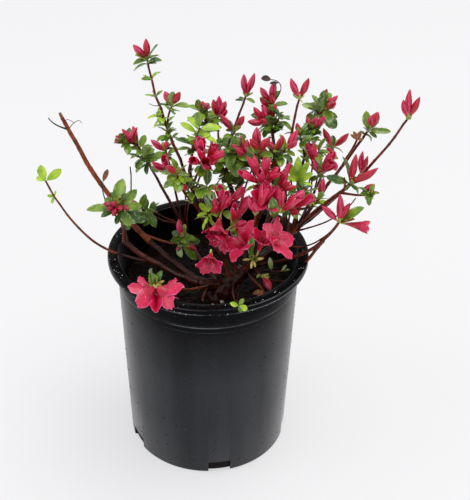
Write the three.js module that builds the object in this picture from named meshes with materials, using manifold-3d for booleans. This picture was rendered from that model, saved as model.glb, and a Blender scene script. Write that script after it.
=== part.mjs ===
// A young evergreen azalea in a round black nursery pot, in millimetres, +Z up.
// The origin is the middle of the pot's flat underside. +X is to the right and -Y is the front.
// The potting mix fills the pot. A short trunk leans over it and forks low, every bough is one
// tapering limb, and each mass of foliage is one solid: a stem, its twigs, leaves, buds and blossom.
import * as THREE from "three";
import { mergeVertices } from "three/addons/utils/BufferGeometryUtils.js";
import Module from "manifold-3d";

const wasm = await Module();
wasm.setup();

// Driving sizes of the pot
const POT_HEIGHT = 186;
const RIM_RADIUS = 82.5;
const RIM_DROP = 5; // the turned-down edge of the rim
const RIM_WALL = 1.6;
const RIM_EDGE = 0.8; // the chamfer round its top
const TOP_RADIUS = 75.2; // outside of the wall under the rim
const FOOT_RADIUS = 68.6; // outside of the wall at the ground
const WALL = 1.5;
const FLOOR = 2.2;
const BAND_DEPTH = 22; // the slightly wider band below the rim
const BAND_STEP = 0.8;
const FOOT_CHAMFER = 1.6;
const POT_SIDES = 40;
const NOTCH_COUNT = 5;
const NOTCH_WIDTH = 19;
const NOTCH_HEIGHT = 8;
const NOTCH_REACH = 8; // how far a drain notch runs in from the wall
const NOTCH_TURN = -80; // compass angle of the first notch, degrees from +X

// Driving sizes of the potting mix and the trunk
const GAP = 0.3; // clearance between solids that touch on the real plant
const MIX_TOP = 158;
const MIX_FLAT = 52; // radius of the level middle
const MIX_SAG = 2.5; // how much lower the mix is at the wall
const TRUNK_FLARE = 4; // extra radius of the root flare
const FLARE_FOOT = 0.16; // share of the trunk below which the flare is full
const FLARE_FALL = 9; // how fast it fades above that
const TRUNK_SIDES = 9;
const TRUNK_RINGS = 9;
const ARM_RINGS = 5;
const BOUGH_SIDES = 6;
const STEM_SIDES = 5;
const TWIG_SIDES = 3;
const SLIVER = 2e-3; // faces thinner than this are welded shut
const RING_STEP = 20; // length of limb between two rings of its mesh

// Driving sizes of leaf, bud and blossom
const LEAF_WIDTH = 0.5; // share of the length
const LEAF_THICK = 0.045;
const BUD_LENGTH = 16;
const BUD_RADIUS = 3;
const STALK = 5; // the little stalk under a bud
const STALK_RADIUS = 0.8;
const PETALS = 5;
const PETAL_LENGTH = 19; // from the throat
const PETAL_WIDTH = 0.7; // shares of the length
const PETAL_THICK = 0.07;
const PETAL_DROOP = 0.06;
const PETAL_TILT = 58; // degrees between a petal and the tube
const TUBE_LENGTH = 13;
const TUBE_RADIUS = 4.2;
const THROAT_DEPTH = 4;

// Driving sizes of the seeded rule that sets leaves, buds and blossom on a stem
const GOLDEN_TURN = 137.5; // degrees between one leaf and the next round a stem
const LEAF_STEP = 1.1; // length of stem between one leaf and the next
const LEAF_FIRST = 0.5; // from the tip to the first leaf
const LEAF_TILT = 48; // degrees between the top leaf and the stem
const LEAF_OPENING = 50; // how much wider the lowest leaf stands
const TILT_DRIFT = 14;
const TURN_DRIFT = 20;
const SIZE_DRIFT = 0.5; // share of the size; buds drift by half of it
const BUD_TILT = 20;
const BUD_CROWDING = 5; // degrees that each further bud pushes the buds apart
const LOWEST_TUFT = 0.15; // shares of the limb
const HIGHEST_TUFT = 0.86;
const TUFT_ROOM = 0.06;
const TUFT_LEAVES = 4;
const TUFT_TURN = 70;
const TUFT_TILT = 46;
const TUFT_LEAF = 7; // shortest leaf of a tuft
const TUFT_SPREAD = 5; // how much longer its longest leaf is
const PETAL_ROOM = 4.5; // radius of the space that a petal keeps for itself
const CAPSULE_STEPS = 8; // straight pieces that stand for one limb when things are kept apart
const RIM_ROOM = 3; // space that leaves keep from the inside of the pot

// The trunk is a leaning stub with a short arm to the left. Each is one bend with a radius that
// tapers: its first and last points are its ends, and the points between pull it into its curve.
const trunkPaths = {
  trunk: { path: [[8, -26, 148], [9, -25, 168], [27, -15, 171], [37, -9, 181]], thick: 7.5, thin: 5.2 },
  left_arm: { path: [[14, -21, 165], [8, -23, 168], [0, -25, 169], [-8, -26, 171]], thick: 5.4, thin: 4.4 },
};

// Every limb, as its tip and its bend. toward: compass angle of the tip about the pot's axis, in
// degrees from +X towards +Y. reach: the tip's distance from that axis. rise: its height over the
// ground. lift and sway: how far its middle lies above, and to the right of, the straight line.
// from, at: the limb that carries it and the share of that limb's length where it starts.
// bare: the share that is a plain bough; the rest is foliage. The last words say what grows there:
// leaves and their length, buds, blooms, tufts of small leaves on the way, and the turn of the
// first bud or bloom about the stem. face: the compass angle and height angle a bloom looks to.
const limbs = [
  { name: "old_stem", from: "left_arm", at: 1, toward: 187, reach: 68, rise: 198, sway: -3, lift: -2,
    thick: 3.4, thin: 2.4, bare: 1 },
  { name: "cut_stem", from: "left_arm", at: 0.75, toward: 159, reach: 128, rise: 281, sway: -6, lift: -16,
    thick: 3.3, thin: 1.9, bare: 1 },
  { name: "arching_stem", from: "old_stem", at: 0.6, toward: 184, reach: 127, rise: 254,
    sway: -6, lift: -18,
    thick: 1.4, thin: 0.9, bare: 0.78, leaves: 3, leaf: 14, tufts: 1, turn: 200 },
  { name: "rosette", from: "old_stem", at: 1, toward: 190, reach: 72, rise: 236, sway: 1, lift: 0,
    thick: 1.9, thin: 1.3, leaves: 13, leaf: 22, buds: 2, budScale: 0.45, turn: 200 },
  { name: "front_stem", from: "left_arm", at: 0.5, toward: 243, reach: 82, rise: 204, sway: 3, lift: -5,
    thick: 1.6, thin: 1.0, bare: 0.6, leaves: 4, leaf: 11, blooms: 2, bloomScale: 0.95,
    face: [268, -22], spread: 46 },
  { name: "pot_shoot", from: "cut_stem", at: 0.4, toward: 180, reach: 22, rise: 192, sway: 2, lift: -3,
    thick: 1.2, thin: 0.9, leaves: 5, leaf: 12, buds: 3, turn: 80 },
  { name: "left_bough", from: "trunk", at: 0.62, toward: 152, reach: 17, rise: 255, sway: -4, lift: -7,
    thick: 2.6, thin: 1.8, bare: 0.86 },
  { name: "bright_tuft", from: "left_bough", at: 1, toward: 112, reach: 19, rise: 289, sway: -1, lift: 2,
    thick: 1.5, thin: 1.0, leaves: 9, leaf: 17, tufts: 1, turn: 30 },
  { name: "tall_shoot", from: "left_bough", at: 0.8, toward: 139, reach: 65, rise: 335, sway: -6, lift: 9,
    thick: 1.6, thin: 1.0, bare: 0.36, leaves: 5, leaf: 13, buds: 2, tufts: 3, turn: 60 },
  { name: "tall_side", from: "tall_shoot", at: 0.42, toward: 140, reach: 37, rise: 306, sway: -2, lift: 0,
    thick: 1.1, thin: 0.9, leaves: 5, leaf: 13, buds: 2, turn: 40 },
  { name: "pink_left", from: "left_bough", at: 0.9, toward: 210, reach: 6, rise: 268, sway: 1, lift: 3,
    thick: 1.1, thin: 0.9, leaves: 2, leaf: 12, buds: 4 },
  { name: "low_left", from: "left_bough", at: 0.7, toward: 207, reach: 27, rise: 264, sway: -4, lift: 1,
    thick: 1.2, thin: 0.9, leaves: 7, leaf: 13, buds: 2, tufts: 1, turn: 30 },
  { name: "mid_bough", from: "trunk", at: 0.8, toward: 70, reach: 28, rise: 250, sway: 4, lift: 3,
    thick: 3.0, thin: 2.1, bare: 0.78, tufts: 1 },
  { name: "mid_left", from: "mid_bough", at: 1, toward: 94, reach: 48, rise: 282, sway: -2, lift: 0,
    thick: 1.4, thin: 1.0, leaves: 8, leaf: 14, buds: 2, budScale: 0.8 },
  { name: "mid_cap", from: "mid_bough", at: 0.97, toward: 85, reach: 64, rise: 275, sway: -1, lift: 2,
    thick: 1.3, thin: 1.0, leaves: 3, leaf: 11, buds: 4, budScale: 0.85, turn: 45 },
  { name: "mid_green", from: "mid_bough", at: 0.9, toward: 28, reach: 27, rise: 272, sway: -2, lift: 3,
    thick: 1.2, thin: 0.9, leaves: 10, leaf: 15, tufts: 1, turn: 10 },
  { name: "mid_long", from: "mid_bough", at: 1, toward: 69, reach: 79, rise: 289, sway: -2, lift: -5,
    thick: 1.5, thin: 1.0, leaves: 2, leaf: 10, buds: 2, turn: 10 },
  { name: "mid_pair", from: "mid_long", at: 0.35, toward: 66, reach: 50, rise: 272, sway: -1, lift: -1,
    thick: 1.1, thin: 0.9, leaves: 4, leaf: 13, buds: 2, turn: 10 },
  { name: "centre_bough", from: "trunk", at: 0.93, toward: 23, reach: 41, rise: 271, sway: 3, lift: 7,
    thick: 2.5, thin: 1.4, bare: 0.78, leaves: 9, leaf: 14, buds: 3, tufts: 1, turn: 90 },
  { name: "high_bloom", from: "centre_bough", at: 0.3, toward: 340, reach: 46, rise: 243,
    sway: 1, lift: 1,
    thick: 1.3, thin: 1.0, leaves: 3, leaf: 13, buds: 5, blooms: 1, bloomScale: 0.9, face: [275, 48] },
  { name: "top_bough", from: "trunk", at: 0.86, toward: 53, reach: 80, rise: 275, sway: 12, lift: 0,
    thick: 2.5, thin: 1.4, bare: 0.74, leaves: 11, leaf: 14, buds: 4, tufts: 1, turn: 20 },
  { name: "top_tip", from: "top_bough", at: 0.93, toward: 55, reach: 86, rise: 285, sway: 1, lift: 1,
    thick: 1.1, thin: 0.9, leaves: 5, leaf: 13, buds: 4, turn: 60 },
  { name: "right_limb", from: "trunk", at: 1, toward: 14, reach: 75, rise: 197, sway: 2, lift: 1,
    thick: 4.4, thin: 3.6, bare: 1 },
  { name: "long_pair", from: "right_limb", at: 0.74, toward: 26, reach: 78, rise: 307, sway: -5, lift: 0,
    thick: 1.7, thin: 1.1, bare: 0.9, leaves: 1, leaf: 8, buds: 2 },
  { name: "near_pair", from: "right_limb", at: 0.48, toward: 13, reach: 53, rise: 272, sway: -2, lift: 9,
    thick: 1.6, thin: 1.1, bare: 0.72, leaves: 5, leaf: 12, buds: 3 },
  { name: "back_right", from: "right_limb", at: 0.94, toward: 42, reach: 114, rise: 256,
    sway: -2, lift: 4,
    thick: 1.9, thin: 1.2, bare: 0.62, leaves: 8, leaf: 13, buds: 2, tufts: 3 },
  { name: "back_right_top", from: "back_right", at: 0.88, toward: 45, reach: 130, rise: 273,
    sway: 1, lift: 5,
    thick: 1.1, thin: 0.9, leaves: 7, leaf: 15, buds: 3, turn: 60 },
  { name: "right_pair", from: "right_limb", at: 1, toward: 39, reach: 135, rise: 238, sway: 2, lift: 2,
    thick: 1.5, thin: 1.0, bare: 0.72, leaves: 3, leaf: 11, buds: 3 },
  { name: "sprout", from: "right_limb", at: 0.82, toward: 6, reach: 73, rise: 240, sway: 2, lift: 5,
    thick: 1.4, thin: 1.0, leaves: 12, leaf: 15 },
  { name: "sprout_low", from: "sprout", at: 0.45, toward: 11, reach: 91, rise: 226, sway: 3, lift: -2,
    thick: 1.1, thin: 0.9, leaves: 8, leaf: 12, buds: 1, turn: 50 },
  { name: "fork_stem", from: "right_limb", at: 1, toward: 25, reach: 145, rise: 268, sway: 1, lift: 2,
    thick: 2.0, thin: 1.2, bare: 0.7, leaves: 5, leaf: 13, buds: 2, budScale: 0.95 },
  { name: "far_right", from: "right_limb", at: 1, toward: 7, reach: 155, rise: 299, sway: 8, lift: 0,
    thick: 1.7, thin: 1.1, bare: 0.86, leaves: 2, leaf: 9, buds: 3, turn: 20 },
  { name: "right_low", from: "right_limb", at: 0.97, toward: 357, reach: 111, rise: 255, sway: 1, lift: 1,
    thick: 2.0, thin: 1.3, bare: 0.7, leaves: 5, leaf: 16, buds: 3, turn: 30 },
  { name: "right_low_side", from: "right_low", at: 0.8, toward: 354, reach: 127, rise: 251,
    sway: 3, lift: -2,
    thick: 1.1, thin: 0.9, leaves: 5, leaf: 11, buds: 1 },
  { name: "front_right", from: "trunk", at: 0.93, toward: 348, reach: 105, rise: 229, sway: 8, lift: -9,
    thick: 2.0, thin: 1.3, bare: 0.76, leaves: 4, leaf: 18, buds: 4, blooms: 1, bloomScale: 0.8, turn: 60,
    face: [340, -12] },
  { name: "bloom_stem", from: "trunk", at: 0.74, toward: 311, reach: 55, rise: 206, sway: 1, lift: 0,
    thick: 1.7, thin: 1.2, leaves: 3, leaf: 17, blooms: 3, bloomScale: 1.1, face: [276, 52], spread: 120 },
  { name: "left_bloom", from: "trunk", at: 0.5, toward: 300, reach: 14, rise: 226, sway: -2, lift: -1,
    thick: 1.4, thin: 1.0, leaves: 6, leaf: 13, buds: 5, blooms: 1, bloomScale: 0.8, turn: 50,
    face: [262, 40] },
  { name: "low_bloom", from: "trunk", at: 0.42, toward: 277, reach: 44, rise: 204, sway: -2, lift: -4,
    thick: 1.3, thin: 1.0, leaves: 2, leaf: 12, blooms: 1, bloomScale: 0.75, face: [248, 20] },
  { name: "runner", from: "trunk", at: 0.56, toward: 291, reach: 70, rise: 178, sway: -2, lift: -2,
    thick: 1.2, thin: 0.9, leaves: 4, leaf: 10 },
  { name: "brown_tip", from: "trunk", at: 0.8, toward: 321, reach: 66, rise: 168, sway: -1, lift: 1,
    thick: 1.4, thin: 0.9, bare: 1 },
  { name: "back_limb", from: "left_arm", at: 0.3, toward: 115, reach: 61, rise: 177, sway: -3, lift: 1,
    thick: 2.6, thin: 2.0, bare: 1 },
  { name: "back_left", from: "back_limb", at: 1, toward: 129, reach: 100, rise: 240, sway: 1, lift: 0,
    thick: 1.7, thin: 1.1, bare: 0.68, leaves: 12, leaf: 14, buds: 4 },
  { name: "back_left_twin", from: "back_limb", at: 0.9, toward: 120, reach: 76, rise: 242,
    sway: 1, lift: -1,
    thick: 1.4, thin: 1.0, bare: 0.7, leaves: 5, leaf: 11, buds: 4, turn: 40 },
  { name: "back_low", from: "back_limb", at: 0.96, toward: 150, reach: 66, rise: 204, sway: 1, lift: -4,
    thick: 1.4, thin: 1.0, bare: 0.55, leaves: 8, leaf: 15, buds: 1 },
];

const rad = THREE.MathUtils.degToRad;
const vec = (x, y, z) => new THREE.Vector3(x, y, z);

// A seeded draw between 0 and 1, the same in any language that has whole numbers of 53 bits.
function makeDraw(seed) {
  let state = (seed * 7919 + 101) % 2147483647;
  return () => {
    state = (state * 16807) % 2147483647;
    return state / 2147483647;
  };
}

// A direction that leans from an axis by tilt degrees, at turn degrees round it.
function lean(axis, turn, tilt) {
  const side = vec(0, 0, 1).cross(axis);
  if (side.length() < 0.05) side.set(1, 0, 0);
  side.normalize();
  const up = axis.clone().cross(side);
  const across = side.multiplyScalar(Math.cos(rad(turn))).addScaledVector(up, Math.sin(rad(turn)));
  return axis.clone().multiplyScalar(Math.cos(rad(tilt))).addScaledVector(across, Math.sin(rad(tilt)));
}

function compass(toward, up) {
  const level = Math.cos(rad(up));
  return vec(Math.cos(rad(toward)) * level, Math.sin(rad(toward)) * level, Math.sin(rad(up)));
}

function toSolid(geometry, weld = 1e-4) {
  const bare = geometry.clone();
  bare.deleteAttribute("normal");
  bare.deleteAttribute("uv");
  const merged = mergeVertices(bare, weld);
  return new wasm.Manifold(
    new wasm.Mesh({
      numProp: 3,
      vertProperties: merged.attributes.position.array,
      triVerts: new Uint32Array(merged.index.array),
    }),
  );
}

function toGeometry(solid) {
  const mesh = solid.getMesh();
  return new THREE.BufferGeometry()
    .setAttribute("position", new THREE.BufferAttribute(mesh.vertProperties, 3))
    .setIndex(new THREE.BufferAttribute(mesh.triVerts, 1));
}

// A round bar bent along a curve, from share a to share b of it, with a radius for each share.
function bentBar(curve, radiusAt, sides, rings, a = 0, b = 1) {
  const bar = new THREE.CylinderGeometry(1, 1, 1, sides, rings);
  const place = bar.attributes.position;
  const frames = [];
  let side = lean(curve.getTangent(a), 0, 90);
  for (let i = 0; i <= rings; i++) {
    const share = a + ((b - a) * i) / rings;
    const ahead = curve.getTangent(share);
    side = side.clone().addScaledVector(ahead, -side.dot(ahead)).normalize();
    const up = ahead.clone().cross(side);
    frames.push({ centre: curve.getPoint(share), side, up, radius: radiusAt(share) });
  }
  for (let i = 0; i < place.count; i++) {
    const frame = frames[Math.round((0.5 + place.getY(i)) * rings)];
    const point = frame.centre
      .clone()
      .addScaledVector(frame.side, place.getX(i) * frame.radius)
      .addScaledVector(frame.up, -place.getZ(i) * frame.radius);
    place.setXYZ(i, point.x, point.y, point.z);
  }
  return toSolid(bar);
}

// Places a shape that was made along +Y, face up to +Z, at a point and along a direction.
function along(geometry, start, ahead, faceUp = vec(0, 0, 1)) {
  let side = ahead.clone().cross(faceUp);
  if (side.length() < 0.05) side = ahead.clone().cross(vec(1, 0, 0));
  side.normalize();
  const up = side.clone().cross(ahead);
  return geometry.applyMatrix4(new THREE.Matrix4().makeBasis(side, ahead, up).setPosition(start));
}

// A leaf of eight faces: an octahedron drawn out flat, widest past its middle, with a drooped tip.
function leafShape(length, width = LEAF_WIDTH, thick = LEAF_THICK, droop = 0.1) {
  const leaf = new THREE.OctahedronGeometry(1, 0);
  const place = leaf.attributes.position;
  for (let i = 0; i < place.count; i++) {
    const [x, y, z] = [place.getX(i), place.getY(i), place.getZ(i)];
    const share = y === 0 ? 0.58 : (y + 1) / 2;
    const sink = y > 0.5 ? -droop * length : 0;
    place.setXYZ(i, (x * width * length) / 2, share * length, (z * thick * length) / 2 + sink);
  }
  return leaf;
}

// A spindle bud on its stalk, turned on a lathe.
function budShape(scale) {
  const length = BUD_LENGTH * scale;
  const radius = BUD_RADIUS * scale;
  const profile = [
    [0, 0],
    [STALK_RADIUS, 0],
    [radius, STALK + 0.45 * length],
    [0, STALK + length],
  ].map(([r, y]) => new THREE.Vector2(r, y));
  return new THREE.LatheGeometry(profile, 5);
}

// An open blossom: a trumpet tube and five broad petals that spread from its mouth.
function bloomSolid({ start, ahead, turn, scale }) {
  const tube = TUBE_LENGTH * scale;
  const profile = [
    [0, 0],
    [STALK_RADIUS, 0],
    [STALK_RADIUS, STALK],
    [TUBE_RADIUS * scale, STALK + tube],
    [0, STALK + tube - THROAT_DEPTH],
  ].map(([r, y]) => new THREE.Vector2(r, y));
  let solid = toSolid(along(new THREE.LatheGeometry(profile, 5), start, ahead));
  const throat = start.clone().addScaledVector(ahead, STALK + tube - THROAT_DEPTH);
  for (let k = 0; k < PETALS; k++) {
    const out = lean(ahead, turn + (360 / PETALS) * k, PETAL_TILT);
    const petal = leafShape(PETAL_LENGTH * scale, PETAL_WIDTH, PETAL_THICK, PETAL_DROOP);
    solid = solid.add(toSolid(along(petal, throat, out, ahead)));
  }
  return solid;
}

// Limbs and everything on them are kept apart by capsules: a line with a radius.
const capsules = [];

function lineDistance(p, q, r, s) {
  const d1 = q.clone().sub(p);
  const d2 = s.clone().sub(r);
  const between = p.clone().sub(r);
  const [a, e, f] = [d1.dot(d1), d2.dot(d2), d2.dot(between)];
  const [b, c] = [d1.dot(d2), d1.dot(between)];
  const clamp = THREE.MathUtils.clamp;
  const flat = a * e - b * b;
  let u = flat > 1e-9 ? clamp((b * f - c * e) / flat, 0, 1) : 0;
  const v = clamp((b * u + f) / e, 0, 1);
  u = clamp((b * v - c) / a, 0, 1);
  return p.clone().addScaledVector(d1, u).distanceTo(r.clone().addScaledVector(d2, v));
}

function isClear(owner, start, end, radius) {
  return capsules.every(
    (c) => c.owner === owner || lineDistance(start, end, c.start, c.end) > radius + c.radius + GAP,
  );
}

// Where the pot's wall, rim and filling are, a leaf or bud may not go.
function isInFreeAir(point, room) {
  const across = Math.hypot(point.x, point.y);
  if (across < TOP_RADIUS + room) {
    const inside = TOP_RADIUS - WALL - RIM_ROOM - room;
    if (point.z < MIX_TOP + room) return false;
    return point.z > POT_HEIGHT + room || across < inside;
  }
  return across > RIM_RADIUS + room || point.z > POT_HEIGHT + room;
}

// Each limb's curve, from its start on the limb that carries it.
const curves = {};
for (const [name, { path, thick, thin }] of Object.entries(trunkPaths)) {
  const curve = new THREE.CubicBezierCurve3(...path.map((p) => vec(...p)));
  curves[name] = { curve, thick, thin, node: "trunk", bare: 1 };
}
limbs.forEach((limb, index) => {
  const parent = curves[limb.from];
  const start = parent.curve.getPoint(limb.at);
  const tip = vec(
    limb.reach * Math.cos(rad(limb.toward)),
    limb.reach * Math.sin(rad(limb.toward)),
    limb.rise,
  );
  const bend = start.clone().add(tip).multiplyScalar(0.5).add(vec(2 * limb.sway, 0, 2 * limb.lift));
  const inMass = limb.at > parent.bare;
  curves[limb.name] = {
    ...limb,
    curve: new THREE.QuadraticBezierCurve3(start, bend, tip),
    bare: limb.bare ?? 0,
    mass: inMass ? parent.mass : limb.bare === 1 ? null : limb.name + "_foliage",
    inMass,
    seed: index + 1,
  };
});

function radiusOf(limb) {
  return (share) => THREE.MathUtils.lerp(limb.thick, limb.thin, share);
}

// The clear share of a limb that two solids leave between them where one takes over.
function gapShare(limb) {
  return GAP / limb.curve.getLength();
}

for (const limb of Object.values(curves)) {
  for (let i = 0; i < CAPSULE_STEPS; i++) {
    const [a, b] = [i / CAPSULE_STEPS, (i + 1) / CAPSULE_STEPS];
    const inBough = !limb.inMass && (a + b) / 2 < limb.bare;
    capsules.push({
      owner: inBough || limb.node ? limb.node || limb.name : limb.mass,
      start: limb.curve.getPoint(a),
      end: limb.curve.getPoint(b),
      radius: radiusOf(limb)(a),
    });
  }
}

// What grows on one limb, by the seeded rule: a list of leaves, buds and blooms with their places.
function growth(limb) {
  const draw = makeDraw(limb.seed);
  const found = [];
  const turn = limb.turn ?? 0;
  const tip = limb.curve.getPoint(1);
  const ahead = limb.curve.getTangent(1);
  const blooms = limb.blooms ?? 0;
  for (let k = 0; k < blooms; k++) {
    const aside = blooms > 1 ? limb.spread * (k / (blooms - 1) - 0.5) : 0;
    const face = compass(limb.face[0] + aside, limb.face[1]);
    const petalTurn = (360 / PETALS) * draw();
    const scale = limb.bloomScale;
    found.push({ kind: "bloom", start: tip.clone(), ahead: face, turn: petalTurn, scale });
  }
  const buds = limb.buds ?? 0;
  for (let k = 0; k < buds; k++) {
    const tilt = buds === 1 ? BUD_TILT / 2 : BUD_TILT + BUD_CROWDING * buds * draw();
    const out = lean(ahead, turn + (360 / buds) * k + TURN_DRIFT * (draw() - 0.5), tilt);
    const scale = (limb.budScale ?? 1) * (1 + SIZE_DRIFT * (draw() - 0.5) * 0.5);
    found.push({ kind: "bud", start: tip.clone(), ahead: out, scale });
  }
  const leaves = limb.leaves ?? 0;
  for (let k = 0; k < leaves; k++) {
    const back = LEAF_FIRST + LEAF_STEP * k;
    const start = limb.curve.getPoint(1 - back / limb.curve.getLength());
    const tilt = LEAF_TILT + (LEAF_OPENING * k) / leaves + TILT_DRIFT * (draw() - 0.5);
    const out = lean(ahead, turn + GOLDEN_TURN * (k + 0.5), tilt);
    found.push({ kind: "leaf", start, ahead: out, length: limb.leaf * (1 + SIZE_DRIFT * (draw() - 0.5)) });
  }
  const tufts = limb.tufts ?? 0;
  for (let k = 0; k < tufts; k++) {
    const low = Math.max(limb.bare, LOWEST_TUFT) + TUFT_ROOM;
    const share = low + ((HIGHEST_TUFT - low) * (k + draw())) / tufts;
    const spin = 360 * draw();
    for (let m = 0; m < TUFT_LEAVES; m++) {
      const start = limb.curve.getPoint(share - (LEAF_FIRST * m) / limb.curve.getLength());
      const out = lean(limb.curve.getTangent(share), spin + TUFT_TURN * m, TUFT_TILT + TILT_DRIFT * draw());
      found.push({ kind: "leaf", start, ahead: out, length: TUFT_LEAF + TUFT_SPREAD * draw() });
    }
  }
  return found;
}

function reachOf(item) {
  const { kind, length, scale } = item;
  if (kind === "leaf") return { length, radius: (LEAF_WIDTH * length) / 3 };
  if (kind === "bud") return { length: STALK + BUD_LENGTH * scale, radius: BUD_RADIUS * scale };
  return { length: STALK + TUBE_LENGTH * scale, radius: TUBE_RADIUS * scale };
}

// Blooms and buds choose their places first, then the leaves; what would touch is left out.
const grown = {};
const wanted = Object.values(curves).filter((limb) => limb.mass);
const lists = new Map(wanted.map((limb) => [limb, growth(limb)]));
for (const kind of ["bloom", "bud", "leaf"]) {
  for (const limb of wanted) {
    for (const item of lists.get(limb).filter((i) => i.kind === kind)) {
      const { length, radius } = reachOf(item);
      const root = item.start.clone().addScaledVector(item.ahead, 2);
      const end = item.start.clone().addScaledVector(item.ahead, length);
      const ends = [{ end, radius }];
      if (kind === "bloom") {
        const mouth = item.start.clone().addScaledVector(item.ahead, length - THROAT_DEPTH);
        for (let k = 0; k < PETALS; k++) {
          const out = lean(item.ahead, item.turn + (360 / PETALS) * k, PETAL_TILT);
          const tip = mouth.clone().addScaledVector(out, PETAL_LENGTH * item.scale);
          ends.push({ end: tip, radius: PETAL_ROOM * item.scale, root: mouth });
        }
      }
      const clear = ends.every(
        (e) => isClear(limb.mass, e.root ?? root, e.end, e.radius) && isInFreeAir(e.end, 1),
      );
      if (!clear) continue;
      for (const e of ends) {
        capsules.push({ owner: limb.mass, start: e.root ?? root, end: e.end, radius: e.radius });
      }
      (grown[limb.name] ??= []).push(item);
    }
  }
}

function itemSolid(item) {
  if (item.kind === "bloom") return bloomSolid(item);
  if (item.kind === "bud") return toSolid(along(budShape(item.scale), item.start, item.ahead));
  return toSolid(along(leafShape(item.length), item.start, item.ahead));
}

// The pot: one wall turned on a lathe, with a flanged rim and drain notches round its foot.
function wallRadius(z) {
  return THREE.MathUtils.mapLinear(z, 0, POT_HEIGHT - RIM_DROP, FOOT_RADIUS, TOP_RADIUS);
}

function potSolid() {
  const bandFoot = POT_HEIGHT - BAND_DEPTH;
  const profile = [
    [0, 0],
    [FOOT_RADIUS - FOOT_CHAMFER, 0],
    [FOOT_RADIUS, FOOT_CHAMFER],
    [wallRadius(bandFoot), bandFoot],
    [wallRadius(bandFoot) + BAND_STEP, bandFoot + BAND_STEP],
    [TOP_RADIUS + BAND_STEP, POT_HEIGHT - RIM_WALL],
    [RIM_RADIUS - RIM_WALL, POT_HEIGHT - RIM_WALL],
    [RIM_RADIUS - RIM_WALL, POT_HEIGHT - RIM_DROP],
    [RIM_RADIUS, POT_HEIGHT - RIM_DROP],
    [RIM_RADIUS, POT_HEIGHT - RIM_EDGE],
    [RIM_RADIUS - RIM_EDGE, POT_HEIGHT],
    [TOP_RADIUS - WALL, POT_HEIGHT],
    [FOOT_RADIUS - WALL, FLOOR],
    [0, FLOOR],
  ].map(([r, z]) => new THREE.Vector2(r, z));
  let pot = toSolid(new THREE.LatheGeometry(profile, POT_SIDES).rotateX(Math.PI / 2));
  for (let k = 0; k < NOTCH_COUNT; k++) {
    const notch = new THREE.BoxGeometry(NOTCH_REACH * 2, NOTCH_WIDTH, NOTCH_HEIGHT * 2);
    notch.translate(FOOT_RADIUS, 0, 0);
    notch.rotateZ(rad(NOTCH_TURN + (360 / NOTCH_COUNT) * k));
    pot = pot.subtract(toSolid(notch));
  }
  return pot;
}

// The potting mix fills the pot to a level top that sags a little at the wall.
function mixSolid() {
  const low = FLOOR + GAP;
  const profile = [
    [0, low],
    [FOOT_RADIUS - WALL - GAP, low],
    [wallRadius(MIX_TOP) - WALL - 2 * GAP, MIX_TOP - MIX_SAG],
    [MIX_FLAT, MIX_TOP],
    [0, MIX_TOP],
  ].map(([r, z]) => new THREE.Vector2(r, z));
  return toSolid(new THREE.LatheGeometry(profile, POT_SIDES).rotateX(Math.PI / 2));
}

// The trunk and its left arm, fused, and cut flat a hair above the potting mix.
function trunkSolid(spare) {
  const { trunk, left_arm: arm } = curves;
  const flare = (share) => TRUNK_FLARE * Math.exp(-FLARE_FALL * Math.max(0, share - FLARE_FOOT));
  const trunkRadius = (share) => radiusOf(trunk)(share) + flare(share) + spare;
  const armRadius = (share) => radiusOf(arm)(share) + spare;
  const [wide, deep] = [120, 40];
  const ground = new THREE.BoxGeometry(wide, wide, deep);
  ground.translate(0, 0, MIX_TOP + GAP - spare - deep / 2);
  return bentBar(trunk.curve, trunkRadius, TRUNK_SIDES, TRUNK_RINGS)
    .add(bentBar(arm.curve, armRadius, TRUNK_SIDES, ARM_RINGS))
    .subtract(toSolid(ground));
}

function boughSolid(limb, spare) {
  const rings = Math.max(3, Math.round(limb.curve.getLength() / RING_STEP));
  const end = limb.bare < 1 ? limb.bare : 1;
  const longer = spare / limb.curve.getLength();
  const radius = (share) => radiusOf(limb)(share) + spare;
  return bentBar(limb.curve, radius, BOUGH_SIDES, rings, 0, Math.min(1, end + longer));
}

// The largest body of a solid whose slivers have been welded shut, so a loose scrap is dropped.
function largestPiece(solid) {
  const welded = toSolid(toGeometry(solid), SLIVER);
  return welded.decompose().sort((a, b) => b.volume() - a.volume())[0];
}

const azalea = new THREE.Group();
azalea.name = "azalea";
const finishes = {
  pot: { color: 0x2b2c2e, roughness: 0.42 },
  mix: { color: 0x2a1e17, roughness: 0.95 },
  bark: { color: 0x5d2f22, roughness: 0.6 },
  foliage: { color: 0x6b8f3a, roughness: 0.5 },
  blossom: { color: 0xd32255, roughness: 0.5 },
};

function addPart(name, solid, finish) {
  const material = new THREE.MeshStandardMaterial({ ...finishes[finish], metalness: 0 });
  const mesh = new THREE.Mesh(toGeometry(solid), material);
  mesh.name = name;
  azalea.add(mesh);
}

addPart("pot", potSolid(), "pot");
addPart("potting_mix", mixSolid(), "mix");
addPart("trunk", trunkSolid(0), "bark");

// Each bough is cut back from the trunk and from the limbs made before it, which leaves a seat.
const seats = [trunkSolid(GAP)];
for (const limb of Object.values(curves)) {
  if (limb.node || limb.inMass || !limb.bare) continue;
  let bough = boughSolid(limb, 0);
  for (const seat of seats) bough = bough.subtract(seat);
  addPart(limb.name, largestPiece(bough), "bark");
  seats.push(boughSolid(limb, GAP));
}

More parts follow.
